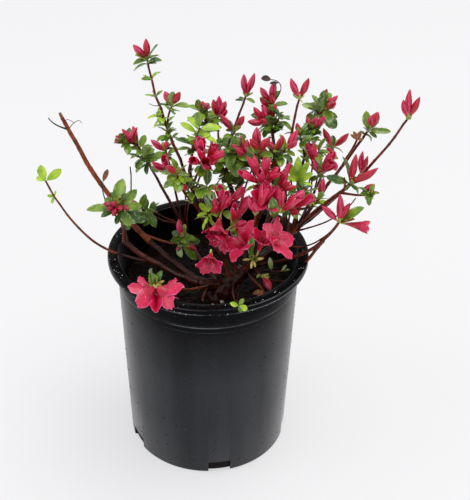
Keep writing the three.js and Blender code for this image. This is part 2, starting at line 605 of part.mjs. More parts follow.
// Each mass is its stem above the bough, its twigs, and all that grows on them, fused to one solid.
for (const name of new Set(wanted.map((limb) => limb.mass))) {
  let mass = null;
  const fuse = (solid) => (mass = mass ? mass.add(solid) : solid);
  for (const limb of wanted.filter((l) => l.mass === name)) {
    const start = limb.inMass || !limb.bare ? 0 : limb.bare + gapShare(limb);
    const rings = Math.max(2, Math.round((limb.curve.getLength() * (1 - start)) / RING_STEP));
    fuse(bentBar(limb.curve, radiusOf(limb), limb.inMass ? TWIG_SIDES : STEM_SIDES, rings, start, 1));
    for (const item of grown[limb.name] ?? []) fuse(itemSolid(item));
  }
  for (const seat of seats) mass = mass.subtract(seat);
  const blooms = wanted.some((l) => l.mass === name && l.blooms);
  addPart(name, largestPiece(mass), blooms ? "blossom" : "foliage");
}

export default azalea;
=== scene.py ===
import math

import bpy
import numpy as np
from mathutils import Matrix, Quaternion, Vector, noise


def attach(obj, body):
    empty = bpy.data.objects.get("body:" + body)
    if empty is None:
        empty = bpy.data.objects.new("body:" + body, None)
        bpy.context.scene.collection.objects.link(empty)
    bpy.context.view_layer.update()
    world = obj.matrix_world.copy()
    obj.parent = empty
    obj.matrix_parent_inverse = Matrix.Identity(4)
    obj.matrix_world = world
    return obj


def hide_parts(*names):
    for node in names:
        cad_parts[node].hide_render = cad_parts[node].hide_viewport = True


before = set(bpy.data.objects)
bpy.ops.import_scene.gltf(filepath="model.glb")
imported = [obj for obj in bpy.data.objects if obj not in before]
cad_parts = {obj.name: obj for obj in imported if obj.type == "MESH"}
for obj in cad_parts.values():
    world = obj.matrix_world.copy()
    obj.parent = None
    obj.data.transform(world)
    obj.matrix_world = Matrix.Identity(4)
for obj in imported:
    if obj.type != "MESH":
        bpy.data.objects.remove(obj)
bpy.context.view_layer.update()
MM = 0.001


# The pot: a thin injection-moulded nursery pot of black polypropylene with a flanged rim, a
# slightly wider band under it, and drain notches cut in the foot. It is damp and dusty from use.
POT_HEIGHT = 186
RIM_RADIUS = 82.5
RIM_DROP = 5
RIM_WALL = 1.6
TOP_RADIUS = 75.2
FOOT_RADIUS = 68.6
FOOT_CHAMFER = 1.6
WALL = 1.5
FLOOR = 2.2
BAND_DEPTH = 22
BAND_STEP = 0.8
BAND_TOP = 14  # how far below the rim's top the band ends
LIP = 1.4  # the rim's rounded outer edge
POT_STEPS = 160
NOTCH_COUNT = 5
NOTCH_WIDTH = 19
NOTCH_HEIGHT = 12
NOTCH_REACH = 8  # how far a drain notch runs in from the wall
NOTCH_TURN = -80
EDGE_ROUNDING = 0.35
EDGE_ANGLE = 38  # corners sharper than this are rounded
SMOOTH_ANGLE = 35


def turned(name, profile, steps):
    """A shape turned on a lathe: its profile is drawn as a chain and spun round the axis."""
    bpy.ops.object.select_all(action="DESELECT")
    bpy.ops.mesh.primitive_plane_add(size=MM, location=(0, 0, 0))
    piece = bpy.context.object
    piece.name = name
    bpy.ops.object.mode_set(mode="EDIT")
    bpy.ops.mesh.select_all(action="SELECT")
    bpy.ops.mesh.merge(type="CENTER")
    radius, height = profile[0]
    bpy.ops.transform.translate(value=(radius * MM, 0, height * MM))
    for next_radius, next_height in profile[1:]:
        move = ((next_radius - radius) * MM, 0, (next_height - height) * MM)
        bpy.ops.mesh.extrude_region_move(TRANSFORM_OT_translate={"value": move})
        radius, height = next_radius, next_height
    bpy.ops.mesh.select_all(action="SELECT")
    bpy.ops.mesh.spin(steps=steps, angle=2 * math.pi, center=(0, 0, 0), axis=(0, 0, 1))
    bpy.ops.mesh.select_all(action="SELECT")
    bpy.ops.mesh.remove_doubles(threshold=1e-6)
    bpy.ops.mesh.normals_make_consistent(inside=False)
    bpy.ops.object.mode_set(mode="OBJECT")
    return piece


def select_only(piece):
    bpy.ops.object.select_all(action="DESELECT")
    piece.select_set(True)
    bpy.context.view_layer.objects.active = piece


def srgb(code):
    """An sRGB hex colour as a linear one."""
    parts = [int(code[i : i + 2], 16) / 255 for i in (1, 3, 5)]
    return [c / 12.92 if c <= 0.04045 else ((c + 0.055) / 1.055) ** 2.4 for c in parts] + [1]


def set_sockets(tree, node, values):
    """Sets each socket of a node, or links it where its value is another node's output."""
    for key, value in values.items():
        if isinstance(value, bpy.types.NodeSocket):
            tree.links.new(value, node.inputs[key])
        else:
            node.inputs[key].default_value = value


def add_node(tree, kind, inputs=None, output=None, **settings):
    """Adds one node with its settings and sockets. It gives the output named, or the one in use."""
    made = tree.nodes.new("ShaderNode" + kind)
    for key, value in settings.items():
        setattr(made, key, value)
    set_sockets(tree, made, inputs or {})
    return made.outputs[output] if output else next(s for s in made.outputs if s.enabled)


def new_finish(name):
    """An empty material: its node tree, its shader, and the object's own coordinates."""
    finish = bpy.data.materials.new(name)
    finish.use_nodes = True
    tree = finish.node_tree
    return finish, tree, tree.nodes["Principled BSDF"], add_node(tree, "TexCoord", output="Object")


def wall_radius(height):
    share = height / (POT_HEIGHT - RIM_DROP)
    return FOOT_RADIUS + (TOP_RADIUS - FOOT_RADIUS) * share


band_foot = POT_HEIGHT - BAND_DEPTH
band_top = POT_HEIGHT - BAND_TOP
inner_radius = TOP_RADIUS - WALL
pot = turned(
    "nursery_pot",
    [
        (0, 0),
        (FOOT_RADIUS - FOOT_CHAMFER, 0),
        (FOOT_RADIUS, FOOT_CHAMFER),
        (wall_radius(60), 60),
        (wall_radius(120), 120),
        (wall_radius(band_foot), band_foot),
        (wall_radius(band_foot) + BAND_STEP, band_foot + BAND_STEP),
        (wall_radius(band_top) + BAND_STEP, band_top),
        (TOP_RADIUS + BAND_STEP, POT_HEIGHT - RIM_WALL),
        (RIM_RADIUS - RIM_WALL, POT_HEIGHT - RIM_WALL),
        (RIM_RADIUS - RIM_WALL, POT_HEIGHT - RIM_DROP),
        (RIM_RADIUS, POT_HEIGHT - RIM_DROP),
        (RIM_RADIUS, POT_HEIGHT - LIP),
        (RIM_RADIUS - 0.4, POT_HEIGHT - 0.4),
        (RIM_RADIUS - LIP, POT_HEIGHT),
        (inner_radius + 1.2, POT_HEIGHT),
        (inner_radius + 0.2, POT_HEIGHT - 0.5),
        (inner_radius, POT_HEIGHT - 1.5),
        (wall_radius(120) - WALL, 120),
        (FOOT_RADIUS - WALL, FLOOR),
        (0, FLOOR),
    ],
    POT_STEPS,
)
for k in range(NOTCH_COUNT):
    turn = math.radians(NOTCH_TURN + 360 / NOTCH_COUNT * k)
    bpy.ops.object.select_all(action="DESELECT")
    bpy.ops.mesh.primitive_cube_add(
        size=1,
        location=(math.cos(turn) * FOOT_RADIUS * MM, math.sin(turn) * FOOT_RADIUS * MM, 0),
        rotation=(0, 0, turn),
        scale=(2 * NOTCH_REACH * MM, NOTCH_WIDTH * MM, 2 * NOTCH_HEIGHT * MM),
    )
    cutter = bpy.context.object
    cut = pot.modifiers.new("notch", "BOOLEAN")
    cut.object = cutter
    cut.operation = "DIFFERENCE"
    bpy.context.view_layer.objects.active = pot
    bpy.ops.object.modifier_apply(modifier="notch")
    bpy.data.objects.remove(cutter)
rounding = pot.modifiers.new("rounding", "BEVEL")
rounding.width = EDGE_ROUNDING * MM
rounding.segments = 2
rounding.limit_method = "ANGLE"
rounding.angle_limit = math.radians(EDGE_ANGLE)
select_only(pot)
bpy.ops.object.modifier_apply(modifier="rounding")
bpy.ops.object.shade_smooth_by_angle(angle=math.radians(SMOOTH_ANGLE))

# Moulded black polypropylene: a half-matt skin with a faint orange peel, fine dust in specks, long
# soft smears down the wall, painted highlights as thin pale lines round the rim and band, and a wet,
# glossier rim. A noise's scale counts its waves in a metre, so the orange peel of 420 repeats about
# every 2.4 mm. Each painted highlight has its height, the half width of its line and its strength.
PAINTED_HIGHLIGHT_LINES = [(181.2, 0.9, 0.9), (185.4, 0.5, 0.5), (162.4, 0.9, 0.55), (157.5, 0.6, 0.25)]
OUTSIDE = (73.8, 74.5)  # only the outer face gets the painted highlights: the radius where they fade in
WET_FROM, WET_TO = 158, 182  # the heights between which the wall turns wet
DULL_FROM, DULL_TO = 100, 160  # and between which its gloss fades, upward too
polypropylene, tree, shader, place = new_finish("moulded_polypropylene")
smears = add_node(tree, "Mapping", {"Vector": place, "Scale": (60, 60, 9)})
smear = add_node(tree, "TexNoise", {"Vector": smears, "Scale": 1.0, "Detail": 4.0})
dust = add_node(tree, "TexNoise", {"Vector": place, "Scale": 900.0, "Detail": 2.0})
specks = add_node(tree, "MapRange", {"Value": dust, "From Min": 0.68, "From Max": 0.74})
tone = add_node(tree, "Mix", {0: smear, 6: srgb("#030304"), 7: srgb("#0a0b0d")}, data_type="RGBA")
dust_and_highlight_lines = add_node(tree, "Mix", {0: specks, 6: tone, 7: srgb("#3d3c3b")}, data_type="RGBA")
height = add_node(tree, "SeparateXYZ", {"Vector": place}, "Z")
around = add_node(tree, "TexNoise", {"Vector": place, "Scale": 26.0, "Detail": 4.0})
breaks = add_node(tree, "MapRange", {"Value": around, "From Min": 0.38, "From Max": 0.6})
level_place = add_node(tree, "Mapping", {"Vector": place, "Scale": (1, 1, 0)})
from_axis = add_node(tree, "VectorMath", {0: level_place}, "Value", operation="LENGTH")
outside_ends = {"From Min": OUTSIDE[0] * MM, "From Max": OUTSIDE[1] * MM}
on_outside = add_node(tree, "MapRange", {"Value": from_axis, **outside_ends})
breaks = add_node(tree, "Math", {0: breaks, 1: on_outside}, operation="MULTIPLY")
# Each line mixes pale grey into the colour: a painted highlight along an edge, broken by noise.
for level, half_width, most in PAINTED_HIGHLIGHT_LINES:
    gap = add_node(tree, "Math", {0: height, 1: level * MM}, operation="SUBTRACT")
    near = add_node(tree, "Math", {0: gap}, operation="ABSOLUTE")
    fade = {"From Min": 0.0, "From Max": half_width * MM, "To Min": most, "To Max": 0.0}
    line = add_node(tree, "MapRange", {"Value": near, **fade})
    share = add_node(tree, "Math", {0: line, 1: breaks}, operation="MULTIPLY")
    dust_and_highlight_lines = add_node(tree, "Mix", {0: share, 6: dust_and_highlight_lines, 7: srgb("#8b8c90")}, data_type="RGBA")
fade = {"From Min": WET_FROM * MM, "From Max": WET_TO * MM, "To Min": 0.22, "To Max": 0.08}
wet = add_node(tree, "MapRange", {"Value": height, **fade})
rough = add_node(tree, "Math", {0: smear, 1: 0.2}, operation="MULTIPLY")
peel = add_node(tree, "TexNoise", {"Vector": place, "Scale": 420.0, "Detail": 3.0})
fade = {"From Min": DULL_FROM * MM, "From Max": DULL_TO * MM, "To Min": 0.5, "To Max": 0.05}
shine = add_node(tree, "MapRange", {"Value": height, **fade})
long_streaks = add_node(tree, "Mapping", {"Vector": place, "Scale": (34, 34, 3)})
streak = add_node(tree, "TexNoise", {"Vector": long_streaks, "Scale": 1.0, "Detail": 3.0})
fade = {"From Min": 0.3, "From Max": 0.7, "To Min": 0.62, "To Max": 1.2}
streaked = add_node(tree, "MapRange", {"Value": streak, **fade})
set_sockets(tree, shader, {
    "Base Color": dust_and_highlight_lines,
    "Roughness": add_node(tree, "Math", {0: wet, 1: rough}, operation="ADD"),
    "Normal": add_node(tree, "Bump", {"Height": peel, "Strength": 0.08, "Distance": 0.0003}),
    "IOR": 1.49,
    "Sheen Weight": 0.34,
    "Sheen Roughness": 0.25,
    "Specular Tint": srgb("#e4e8f6"),
    "Specular IOR Level": add_node(tree, "Math", {0: shine, 1: streaked}, operation="MULTIPLY"),
})
pot.data.materials.append(polypropylene)
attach(pot, "root")
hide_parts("pot")


# The potting mix: moist peat and shredded bark, nearly black, with crumbs, chips and a few white
# grains of perlite lying on it. It is poured in loose and has settled a little at the wall.
MIX_TOP = 158
MIX_FLAT = 52  # its top is level inside this radius and sags outside it
MIX_SAG = 2.5
MIX_GAP = 0.3
MIX_RING = 3
MIX_EDGE = 72
LUMPS_PER_METRE = 160
LUMP_HEIGHT = 1.3
LUMP_DROP = 0.9
CRUMB_COUNT = 1100
CRUMB_REACH = 69
GRIT_COUNT = 420  # specks of mix splashed on the wall
RIM_GRIT_COUNT = 150
UPPER_WALL = 175  # the height whose radius the grit on the inner wall takes
SKIN_DEPTH = 4  # how far below its top the mix is lumpy
PERLITE_PLACES = [(1, -45), (5, -39), (8, -42), (2, -50), (-3, -43), (12, -34), (19, -43), (-6, -49)]


def mesh_piece(name, points, faces, finishes, numbers):
    """One joined piece from points in millimetres, with outward faces and smooth shading."""
    mesh = bpy.data.meshes.new(name)
    mesh.from_pydata((np.asarray(points) * MM).tolist(), [], faces)
    for finish in finishes:
        mesh.materials.append(finish)
    mesh.polygons.foreach_set("material_index", numbers)
    piece = bpy.data.objects.new(name, mesh)
    bpy.context.collection.objects.link(piece)
    select_only(piece)
    bpy.ops.object.mode_set(mode="EDIT")
    bpy.ops.mesh.select_all(action="SELECT")
    bpy.ops.mesh.normals_make_consistent(inside=False)
    bpy.ops.object.mode_set(mode="OBJECT")
    bpy.ops.object.shade_smooth_by_angle(angle=math.radians(50))
    return piece


class Heap:
    """Many small shapes on their way to one joined mesh, each face with its finish's number."""

    def __init__(self):
        self.points = []
        self.faces = []
        self.numbers = []
        self.count = 0

    def add(self, points, faces, numbers=0):
        self.points.append(points)
        self.faces.extend([[i + self.count for i in face] for face in faces])
        self.numbers.extend([numbers] * len(faces) if isinstance(numbers, int) else numbers)
        self.count += len(points)

    def piece(self, name, finishes):
        return mesh_piece(name, np.concatenate(self.points), self.faces, finishes, self.numbers)


def level_mix(radius):
    """How high the mix would lie at a radius if it had no lumps."""
    return MIX_TOP - MIX_SAG * max(0, radius - MIX_FLAT) / (wall_radius(MIX_TOP) - MIX_FLAT)


def lumps(place):
    """The unevenness of the mix at a place in metres."""
    return noise.fractal(place * LUMPS_PER_METRE, 1.0, 2.0, 4)


def mix_height(x, y):
    """Where the top of the mix lies under a place, in millimetres."""
    level = level_mix(math.hypot(x, y))
    return level + LUMP_HEIGHT * lumps(Vector((x, y, level)) * MM) - LUMP_DROP


mix_profile = [
    (0, FLOOR + MIX_GAP),
    (FOOT_RADIUS - WALL - MIX_GAP, FLOOR + MIX_GAP),
    (wall_radius(MIX_TOP) - WALL - 2 * MIX_GAP, MIX_TOP - MIX_SAG),
]
mix_profile += [(radius, level_mix(radius)) for radius in range(MIX_EDGE, 0, -MIX_RING)]
mix = turned("potting_mix_bed", mix_profile + [(0, MIX_TOP)], 120)
for vertex in mix.data.vertices:
    if vertex.co.z > (MIX_TOP - SKIN_DEPTH) * MM and vertex.co.xy.length < (MIX_EDGE + 0.5) * MM:
        vertex.co.z += (LUMP_HEIGHT * lumps(vertex.co) - LUMP_DROP) * MM
bpy.ops.object.shade_smooth_by_angle(angle=math.radians(60))

bpy.ops.object.select_all(action="DESELECT")
bpy.ops.mesh.primitive_ico_sphere_add(subdivisions=1, radius=1)
pebble = bpy.context.object
crumb_points = np.array([v.co for v in pebble.data.vertices])
crumb_faces = [list(p.vertices) for p in pebble.data.polygons]
bpy.data.objects.remove(pebble)
chance = np.random.default_rng(31)
crumbs = Heap()


def grain_shape(size, uneven=0.3):
    """A grain: a small ball with each of its 12 corners drawn in or out by chance."""
    return crumb_points * (1 + chance.uniform(-uneven, uneven, (12, 1))) * size


def on_ring(radius, turn, height):
    return np.array((radius * math.cos(turn), radius * math.sin(turn), height))


PEAT, CHIP, FIBRE, PERLITE = range(4)
for _ in range(CRUMB_COUNT):
    radius = CRUMB_REACH * math.sqrt(chance.random())
    place_at = on_ring(radius, chance.uniform(0, 2 * math.pi), 0)
    size = chance.uniform(0.5, 1.3) * chance.choice([1, 1, 1.6, 2.4])
    place_at[2] = mix_height(*place_at[:2]) + 0.1 * size
    shape = grain_shape(1)
    shape = shape * (size * chance.uniform(0.6, 1.8), size * 0.8, size * chance.uniform(0.3, 0.7))
    spin = chance.uniform(0, math.pi)
    turned_x = shape[:, 0] * math.cos(spin) - shape[:, 1] * math.sin(spin)
    turned_y = shape[:, 0] * math.sin(spin) + shape[:, 1] * math.cos(spin)
    shape = np.stack([turned_x, turned_y, shape[:, 2]], axis=1) + place_at
    crumbs.add(shape, crumb_faces, int(chance.integers(PEAT, FIBRE + 1)))
for _ in range(GRIT_COUNT):
    turn = chance.uniform(0, 2 * math.pi)
    high = chance.uniform(6, POT_HEIGHT - RIM_DROP - 2)
    out = wall_radius(high) + (BAND_STEP if high > band_foot + 1 else 0)
    size = chance.uniform(0.2, 0.5)
    crumbs.add(grain_shape(size) + on_ring(out, turn, high), crumb_faces, PEAT)
for _ in range(RIM_GRIT_COUNT):
    turn = chance.uniform(0, 2 * math.pi)
    on_top = chance.random() < 0.5
    inner_wall = wall_radius(UPPER_WALL) - WALL
    out = chance.uniform(TOP_RADIUS + 0.5, RIM_RADIUS - 1.5) if on_top else inner_wall
    high = POT_HEIGHT if on_top else chance.uniform(MIX_TOP, POT_HEIGHT - 2)
    size = chance.uniform(0.3, 0.8)
    crumbs.add(grain_shape(size) + on_ring(out, turn, high), crumb_faces, CHIP)
for x, y in PERLITE_PLACES:
    size = chance.uniform(1.1, 2.0)
    place_at = (x, y, mix_height(x, y) + 0.8 * size)
    crumbs.add(grain_shape(size, 0.2) + place_at, crumb_faces, PERLITE)


def dress(tree, shader, share, tones, height, strength, depth, values):
    """Mixes two tones by a share, raises a relief of a depth in mm, and sets the plain values."""
    dark, light = (srgb(tone) for tone in tones)
    colour = add_node(tree, "Mix", {0: share, 6: dark, 7: light}, data_type="RGBA")
    relief = {"Height": height, "Strength": strength, "Distance": depth * MM}
    bump = add_node(tree, "Bump", relief)
    set_sockets(tree, shader, {"Base Color": colour, "Normal": bump, **values})


# Moist peat: almost black brown and matt, with a wet glint in a fine grain that repeats about every
# 4 mm. The chips, the fibre and the perlite have the same grain in their own colours.
def earth_finish(name, dark, light, roughness):
    finish, tree, shader, place = new_finish(name)
    grain = add_node(tree, "TexNoise", {"Vector": place, "Scale": 260.0, "Detail": 6.0})
    values = {"Roughness": roughness, "Specular IOR Level": 0.14}
    dress(tree, shader, grain, (dark, light), grain, 0.6, 0.8, values)
    return finish


peat = earth_finish("moist_peat", "#040201", "#110a06", 0.6)
chip = earth_finish("shredded_bark_chip", "#0b0503", "#27150b", 0.55)
fibre = earth_finish("coir_fibre", "#100804", "#341f11", 0.65)
perlite = earth_finish("perlite_grain", "#a9a498", "#e9e6dd", 0.85)
mix.data.materials.append(peat)
crumb_piece = crumbs.piece("mix_crumbs", [peat, chip, fibre, perlite])
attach(mix, "root")
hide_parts("potting_mix")
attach(crumb_piece, "root")


# The trunk and the boughs: a short leaning trunk forks low into slender stems, and each is one
# tapering limb of thin red-brown bark with faint ribs, leaf scars and a thicker collar at its foot.
# The table of limbs and the rule that grows them are those of the CAD model.
TRUNK_SIDES = 28
TRUNK_RIBS, TRUNK_RIB_COUNT = 0.07, 6
TRUNK_FLARE = 4
FLARE_FOOT = 0.16  # the flare has its full width up to this share of the trunk
FLARE_FALL = 9
TRUNK_FOOT = 156.3  # the trunk ends here, inside the mix
TRUNK_SWELLS = [(0.05, 23, 1), (0.04, 51, 0)]  # height as a share, waves and shift of each
BARK_STEP = 1.6  # length of stem between two rings of its mesh
SCAR_STEP = 9.0  # usual length between two leaf scars
SCAR_SWELL = 0.14  # how much a scar stands out, as a share of the stem's thin end
SCAR_WIDTH = 0.9
MOST_SCARS = 60
KINK = 0.35  # how far a stem strays from its bend between two scars
STRAIGHT_FOOT, STRAIGHT_TIP = 10, 6  # over these lengths its ends come back to the bend
COLLAR = 0.45  # how much thicker a stem is at its foot, as a share
COLLAR_FADE = 3.5
RIBS = 0.06  # height of the ribs, as a share of the radius
RIB_DRIFT, FINE_DRIFT = 0.11, 0.07  # how far they wander round the stem from ring to ring
RIB_COUNT = 5
SHADED_SHARE = 0.35  # how much of a stem, from its foot, has the dark wet bark as painted shade
SLIMNESS = 0.82  # the stems are seen a little slimmer than the solids that stand for them
trunk_paths = {
    "trunk": ([[8, -26, 148], [9, -25, 168], [27, -15, 171], [37, -9, 181]], 7.5, 5.2),
    "left_arm": ([[14, -21, 165], [8, -23, 168], [0, -25, 169], [-8, -26, 171]], 5.4, 4.4),
}

# Each row is a limb. on, at: the limb that carries it and the share of that limb where it starts.
# toward, reach, rise: compass angle, distance from the pot's axis and height of its tip. sway, lift:
# how far its middle lies right of and above the straight line. thick, thin: its radius at foot and
# tip. bare: the share that is plain bough. leaves, buds, tufts: how many it bears. leaf: the usual
# length of its leaves. turn: the turn of its first bud about the stem. Tips and middles were worked
# out from points of the photograph through a fitted camera, and some were then moved.
limb_words = "name on at toward reach rise sway lift thick thin bare leaves leaf buds tufts turn"
limb_rows = [
    ("old_stem", "left_arm", 1, 187, 68, 198, -3, -2, 3.4, 2.4, 1, 0, 11, 0, 0, 0),
    ("cut_stem", "left_arm", 0.75, 159, 128, 281, -6, -16, 3.3, 1.9, 1, 0, 11, 0, 0, 0),
    ("arching_stem", "old_stem", 0.6, 184, 127, 254, -6, -18, 1.4, 0.9, 0.78, 3, 14, 0, 1, 200),
    ("rosette", "old_stem", 1, 190, 72, 236, 1, 0, 1.9, 1.3, 0, 13, 22, 2, 0, 200),
    ("front_stem", "left_arm", 0.5, 243, 82, 204, 3, -5, 1.6, 1.0, 0.6, 4, 11, 0, 0, 0),
    ("pot_shoot", "cut_stem", 0.4, 180, 22, 192, 2, -3, 1.2, 0.9, 0, 5, 12, 3, 0, 80),
    ("left_bough", "trunk", 0.62, 152, 17, 255, -4, -7, 2.6, 1.8, 0.86, 0, 11, 0, 0, 0),
    ("bright_tuft", "left_bough", 1, 112, 19, 289, -1, 2, 1.5, 1.0, 0, 9, 17, 0, 1, 30),
    ("tall_shoot", "left_bough", 0.8, 139, 65, 335, -6, 9, 1.6, 1.0, 0.36, 5, 13, 2, 3, 60),
    ("tall_side", "tall_shoot", 0.42, 140, 37, 306, -2, 0, 1.1, 0.9, 0, 5, 13, 2, 0, 40),
    ("pink_left", "left_bough", 0.9, 210, 6, 268, 1, 3, 1.1, 0.9, 0, 2, 12, 4, 0, 0),
    ("low_left", "left_bough", 0.7, 207, 27, 264, -4, 1, 1.2, 0.9, 0, 7, 13, 2, 1, 30),
    ("mid_bough", "trunk", 0.8, 70, 28, 250, 4, 3, 3.0, 2.1, 0.78, 0, 11, 0, 1, 0),
    ("mid_left", "mid_bough", 1, 94, 48, 282, -2, 0, 1.4, 1.0, 0, 8, 14, 2, 0, 0),
    ("mid_cap", "mid_bough", 0.97, 85, 64, 275, -1, 2, 1.3, 1.0, 0, 3, 11, 4, 0, 45),
    ("mid_green", "mid_bough", 0.9, 28, 27, 272, -2, 3, 1.2, 0.9, 0, 10, 15, 0, 1, 10),
    ("mid_long", "mid_bough", 1, 69, 79, 289, -2, -5, 1.5, 1.0, 0, 2, 10, 2, 0, 10),
    ("mid_pair", "mid_long", 0.35, 66, 50, 272, -1, -1, 1.1, 0.9, 0, 4, 13, 2, 0, 10),
    ("centre_bough", "trunk", 0.93, 23, 41, 271, 3, 7, 2.5, 1.4, 0.78, 9, 14, 3, 1, 90),
    ("high_bloom", "centre_bough", 0.3, 340, 46, 243, 1, 1, 1.3, 1.0, 0, 3, 13, 5, 0, 0),
    ("top_bough", "trunk", 0.86, 53, 80, 275, 12, 0, 2.5, 1.4, 0.74, 11, 14, 4, 1, 20),
    ("top_tip", "top_bough", 0.93, 55, 86, 285, 1, 1, 1.1, 0.9, 0, 5, 13, 4, 0, 60),
    ("right_limb", "trunk", 1, 14, 75, 197, 2, 1, 4.4, 3.6, 1, 0, 11, 0, 0, 0),
    ("long_pair", "right_limb", 0.74, 26, 78, 307, -5, 0, 1.7, 1.1, 0.9, 1, 8, 2, 0, 0),
    ("near_pair", "right_limb", 0.48, 13, 53, 272, -2, 9, 1.6, 1.1, 0.72, 5, 12, 3, 0, 0),
    ("back_right", "right_limb", 0.94, 42, 114, 256, -2, 4, 1.9, 1.2, 0.62, 8, 13, 2, 3, 0),
    ("back_right_top", "back_right", 0.88, 45, 130, 273, 1, 5, 1.1, 0.9, 0, 7, 15, 3, 0, 60),
    ("right_pair", "right_limb", 1, 39, 135, 238, 2, 2, 1.5, 1.0, 0.72, 3, 11, 3, 0, 0),
    ("sprout", "right_limb", 0.82, 6, 73, 240, 2, 5, 1.4, 1.0, 0, 12, 15, 0, 0, 0),
    ("sprout_low", "sprout", 0.45, 11, 91, 226, 3, -2, 1.1, 0.9, 0, 8, 12, 1, 0, 50),
    ("fork_stem", "right_limb", 1, 25, 145, 268, 1, 2, 2.0, 1.2, 0.7, 5, 13, 2, 0, 0),
    ("far_right", "right_limb", 1, 7, 155, 299, 8, 0, 1.7, 1.1, 0.86, 2, 9, 3, 0, 20),
    ("right_low", "right_limb", 0.97, 357, 111, 255, 1, 1, 2.0, 1.3, 0.7, 5, 16, 3, 0, 30),
    ("right_low_side", "right_low", 0.8, 354, 127, 251, 3, -2, 1.1, 0.9, 0, 5, 11, 1, 0, 0),
    ("front_right", "trunk", 0.93, 348, 105, 229, 8, -9, 2.0, 1.3, 0.76, 4, 18, 4, 0, 60),
    ("bloom_stem", "trunk", 0.74, 311, 55, 206, 1, 0, 1.7, 1.2, 0, 3, 17, 0, 0, 0),
    ("left_bloom", "trunk", 0.5, 300, 14, 226, -2, -1, 1.4, 1.0, 0, 6, 13, 5, 0, 50),
    ("low_bloom", "trunk", 0.42, 277, 44, 204, -2, -4, 1.3, 1.0, 0, 2, 12, 0, 0, 0),
    ("runner", "trunk", 0.56, 291, 70, 178, -2, -2, 1.2, 0.9, 0, 4, 10, 0, 0, 0),
    ("brown_tip", "trunk", 0.8, 321, 66, 168, -1, 1, 1.4, 0.9, 1, 0, 11, 0, 0, 0),
    ("back_limb", "left_arm", 0.3, 115, 61, 177, -3, 1, 2.6, 2.0, 1, 0, 11, 0, 0, 0),
    ("back_left", "back_limb", 1, 129, 100, 240, 1, 0, 1.7, 1.1, 0.68, 12, 14, 4, 0, 0),
    ("back_left_twin", "back_limb", 0.9, 120, 76, 242, 1, -1, 1.4, 1.0, 0.7, 5, 11, 4, 0, 40),
    ("back_low", "back_limb", 0.96, 150, 66, 204, 1, -4, 1.4, 1.0, 0.55, 8, 15, 1, 0, 0),
]
# What few limbs have: a size of the buds, or blossoms with a size and the compass angle and degrees
# up of the side they face. spread: the angle over which several blossoms fan out.
rare_facts = {
    "rosette": dict(budScale=0.45),
    "front_stem": dict(blooms=2, bloomScale=0.95, face=[268, -22], spread=46),
    "mid_left": dict(budScale=0.8),
    "mid_cap": dict(budScale=0.85),
    "high_bloom": dict(blooms=1, bloomScale=0.9, face=[275, 48]),
    "fork_stem": dict(budScale=0.95),
    "front_right": dict(blooms=1, bloomScale=0.8, face=[340, -12]),
    "bloom_stem": dict(blooms=3, bloomScale=1.1, face=[276, 52], spread=120),
    "left_bloom": dict(blooms=1, bloomScale=0.8, face=[262, 40]),
    "low_bloom": dict(blooms=1, bloomScale=0.75, face=[248, 20]),
}
limbs = [dict(zip(limb_words.split(), row), **rare_facts.get(row[0], {})) for row in limb_rows]

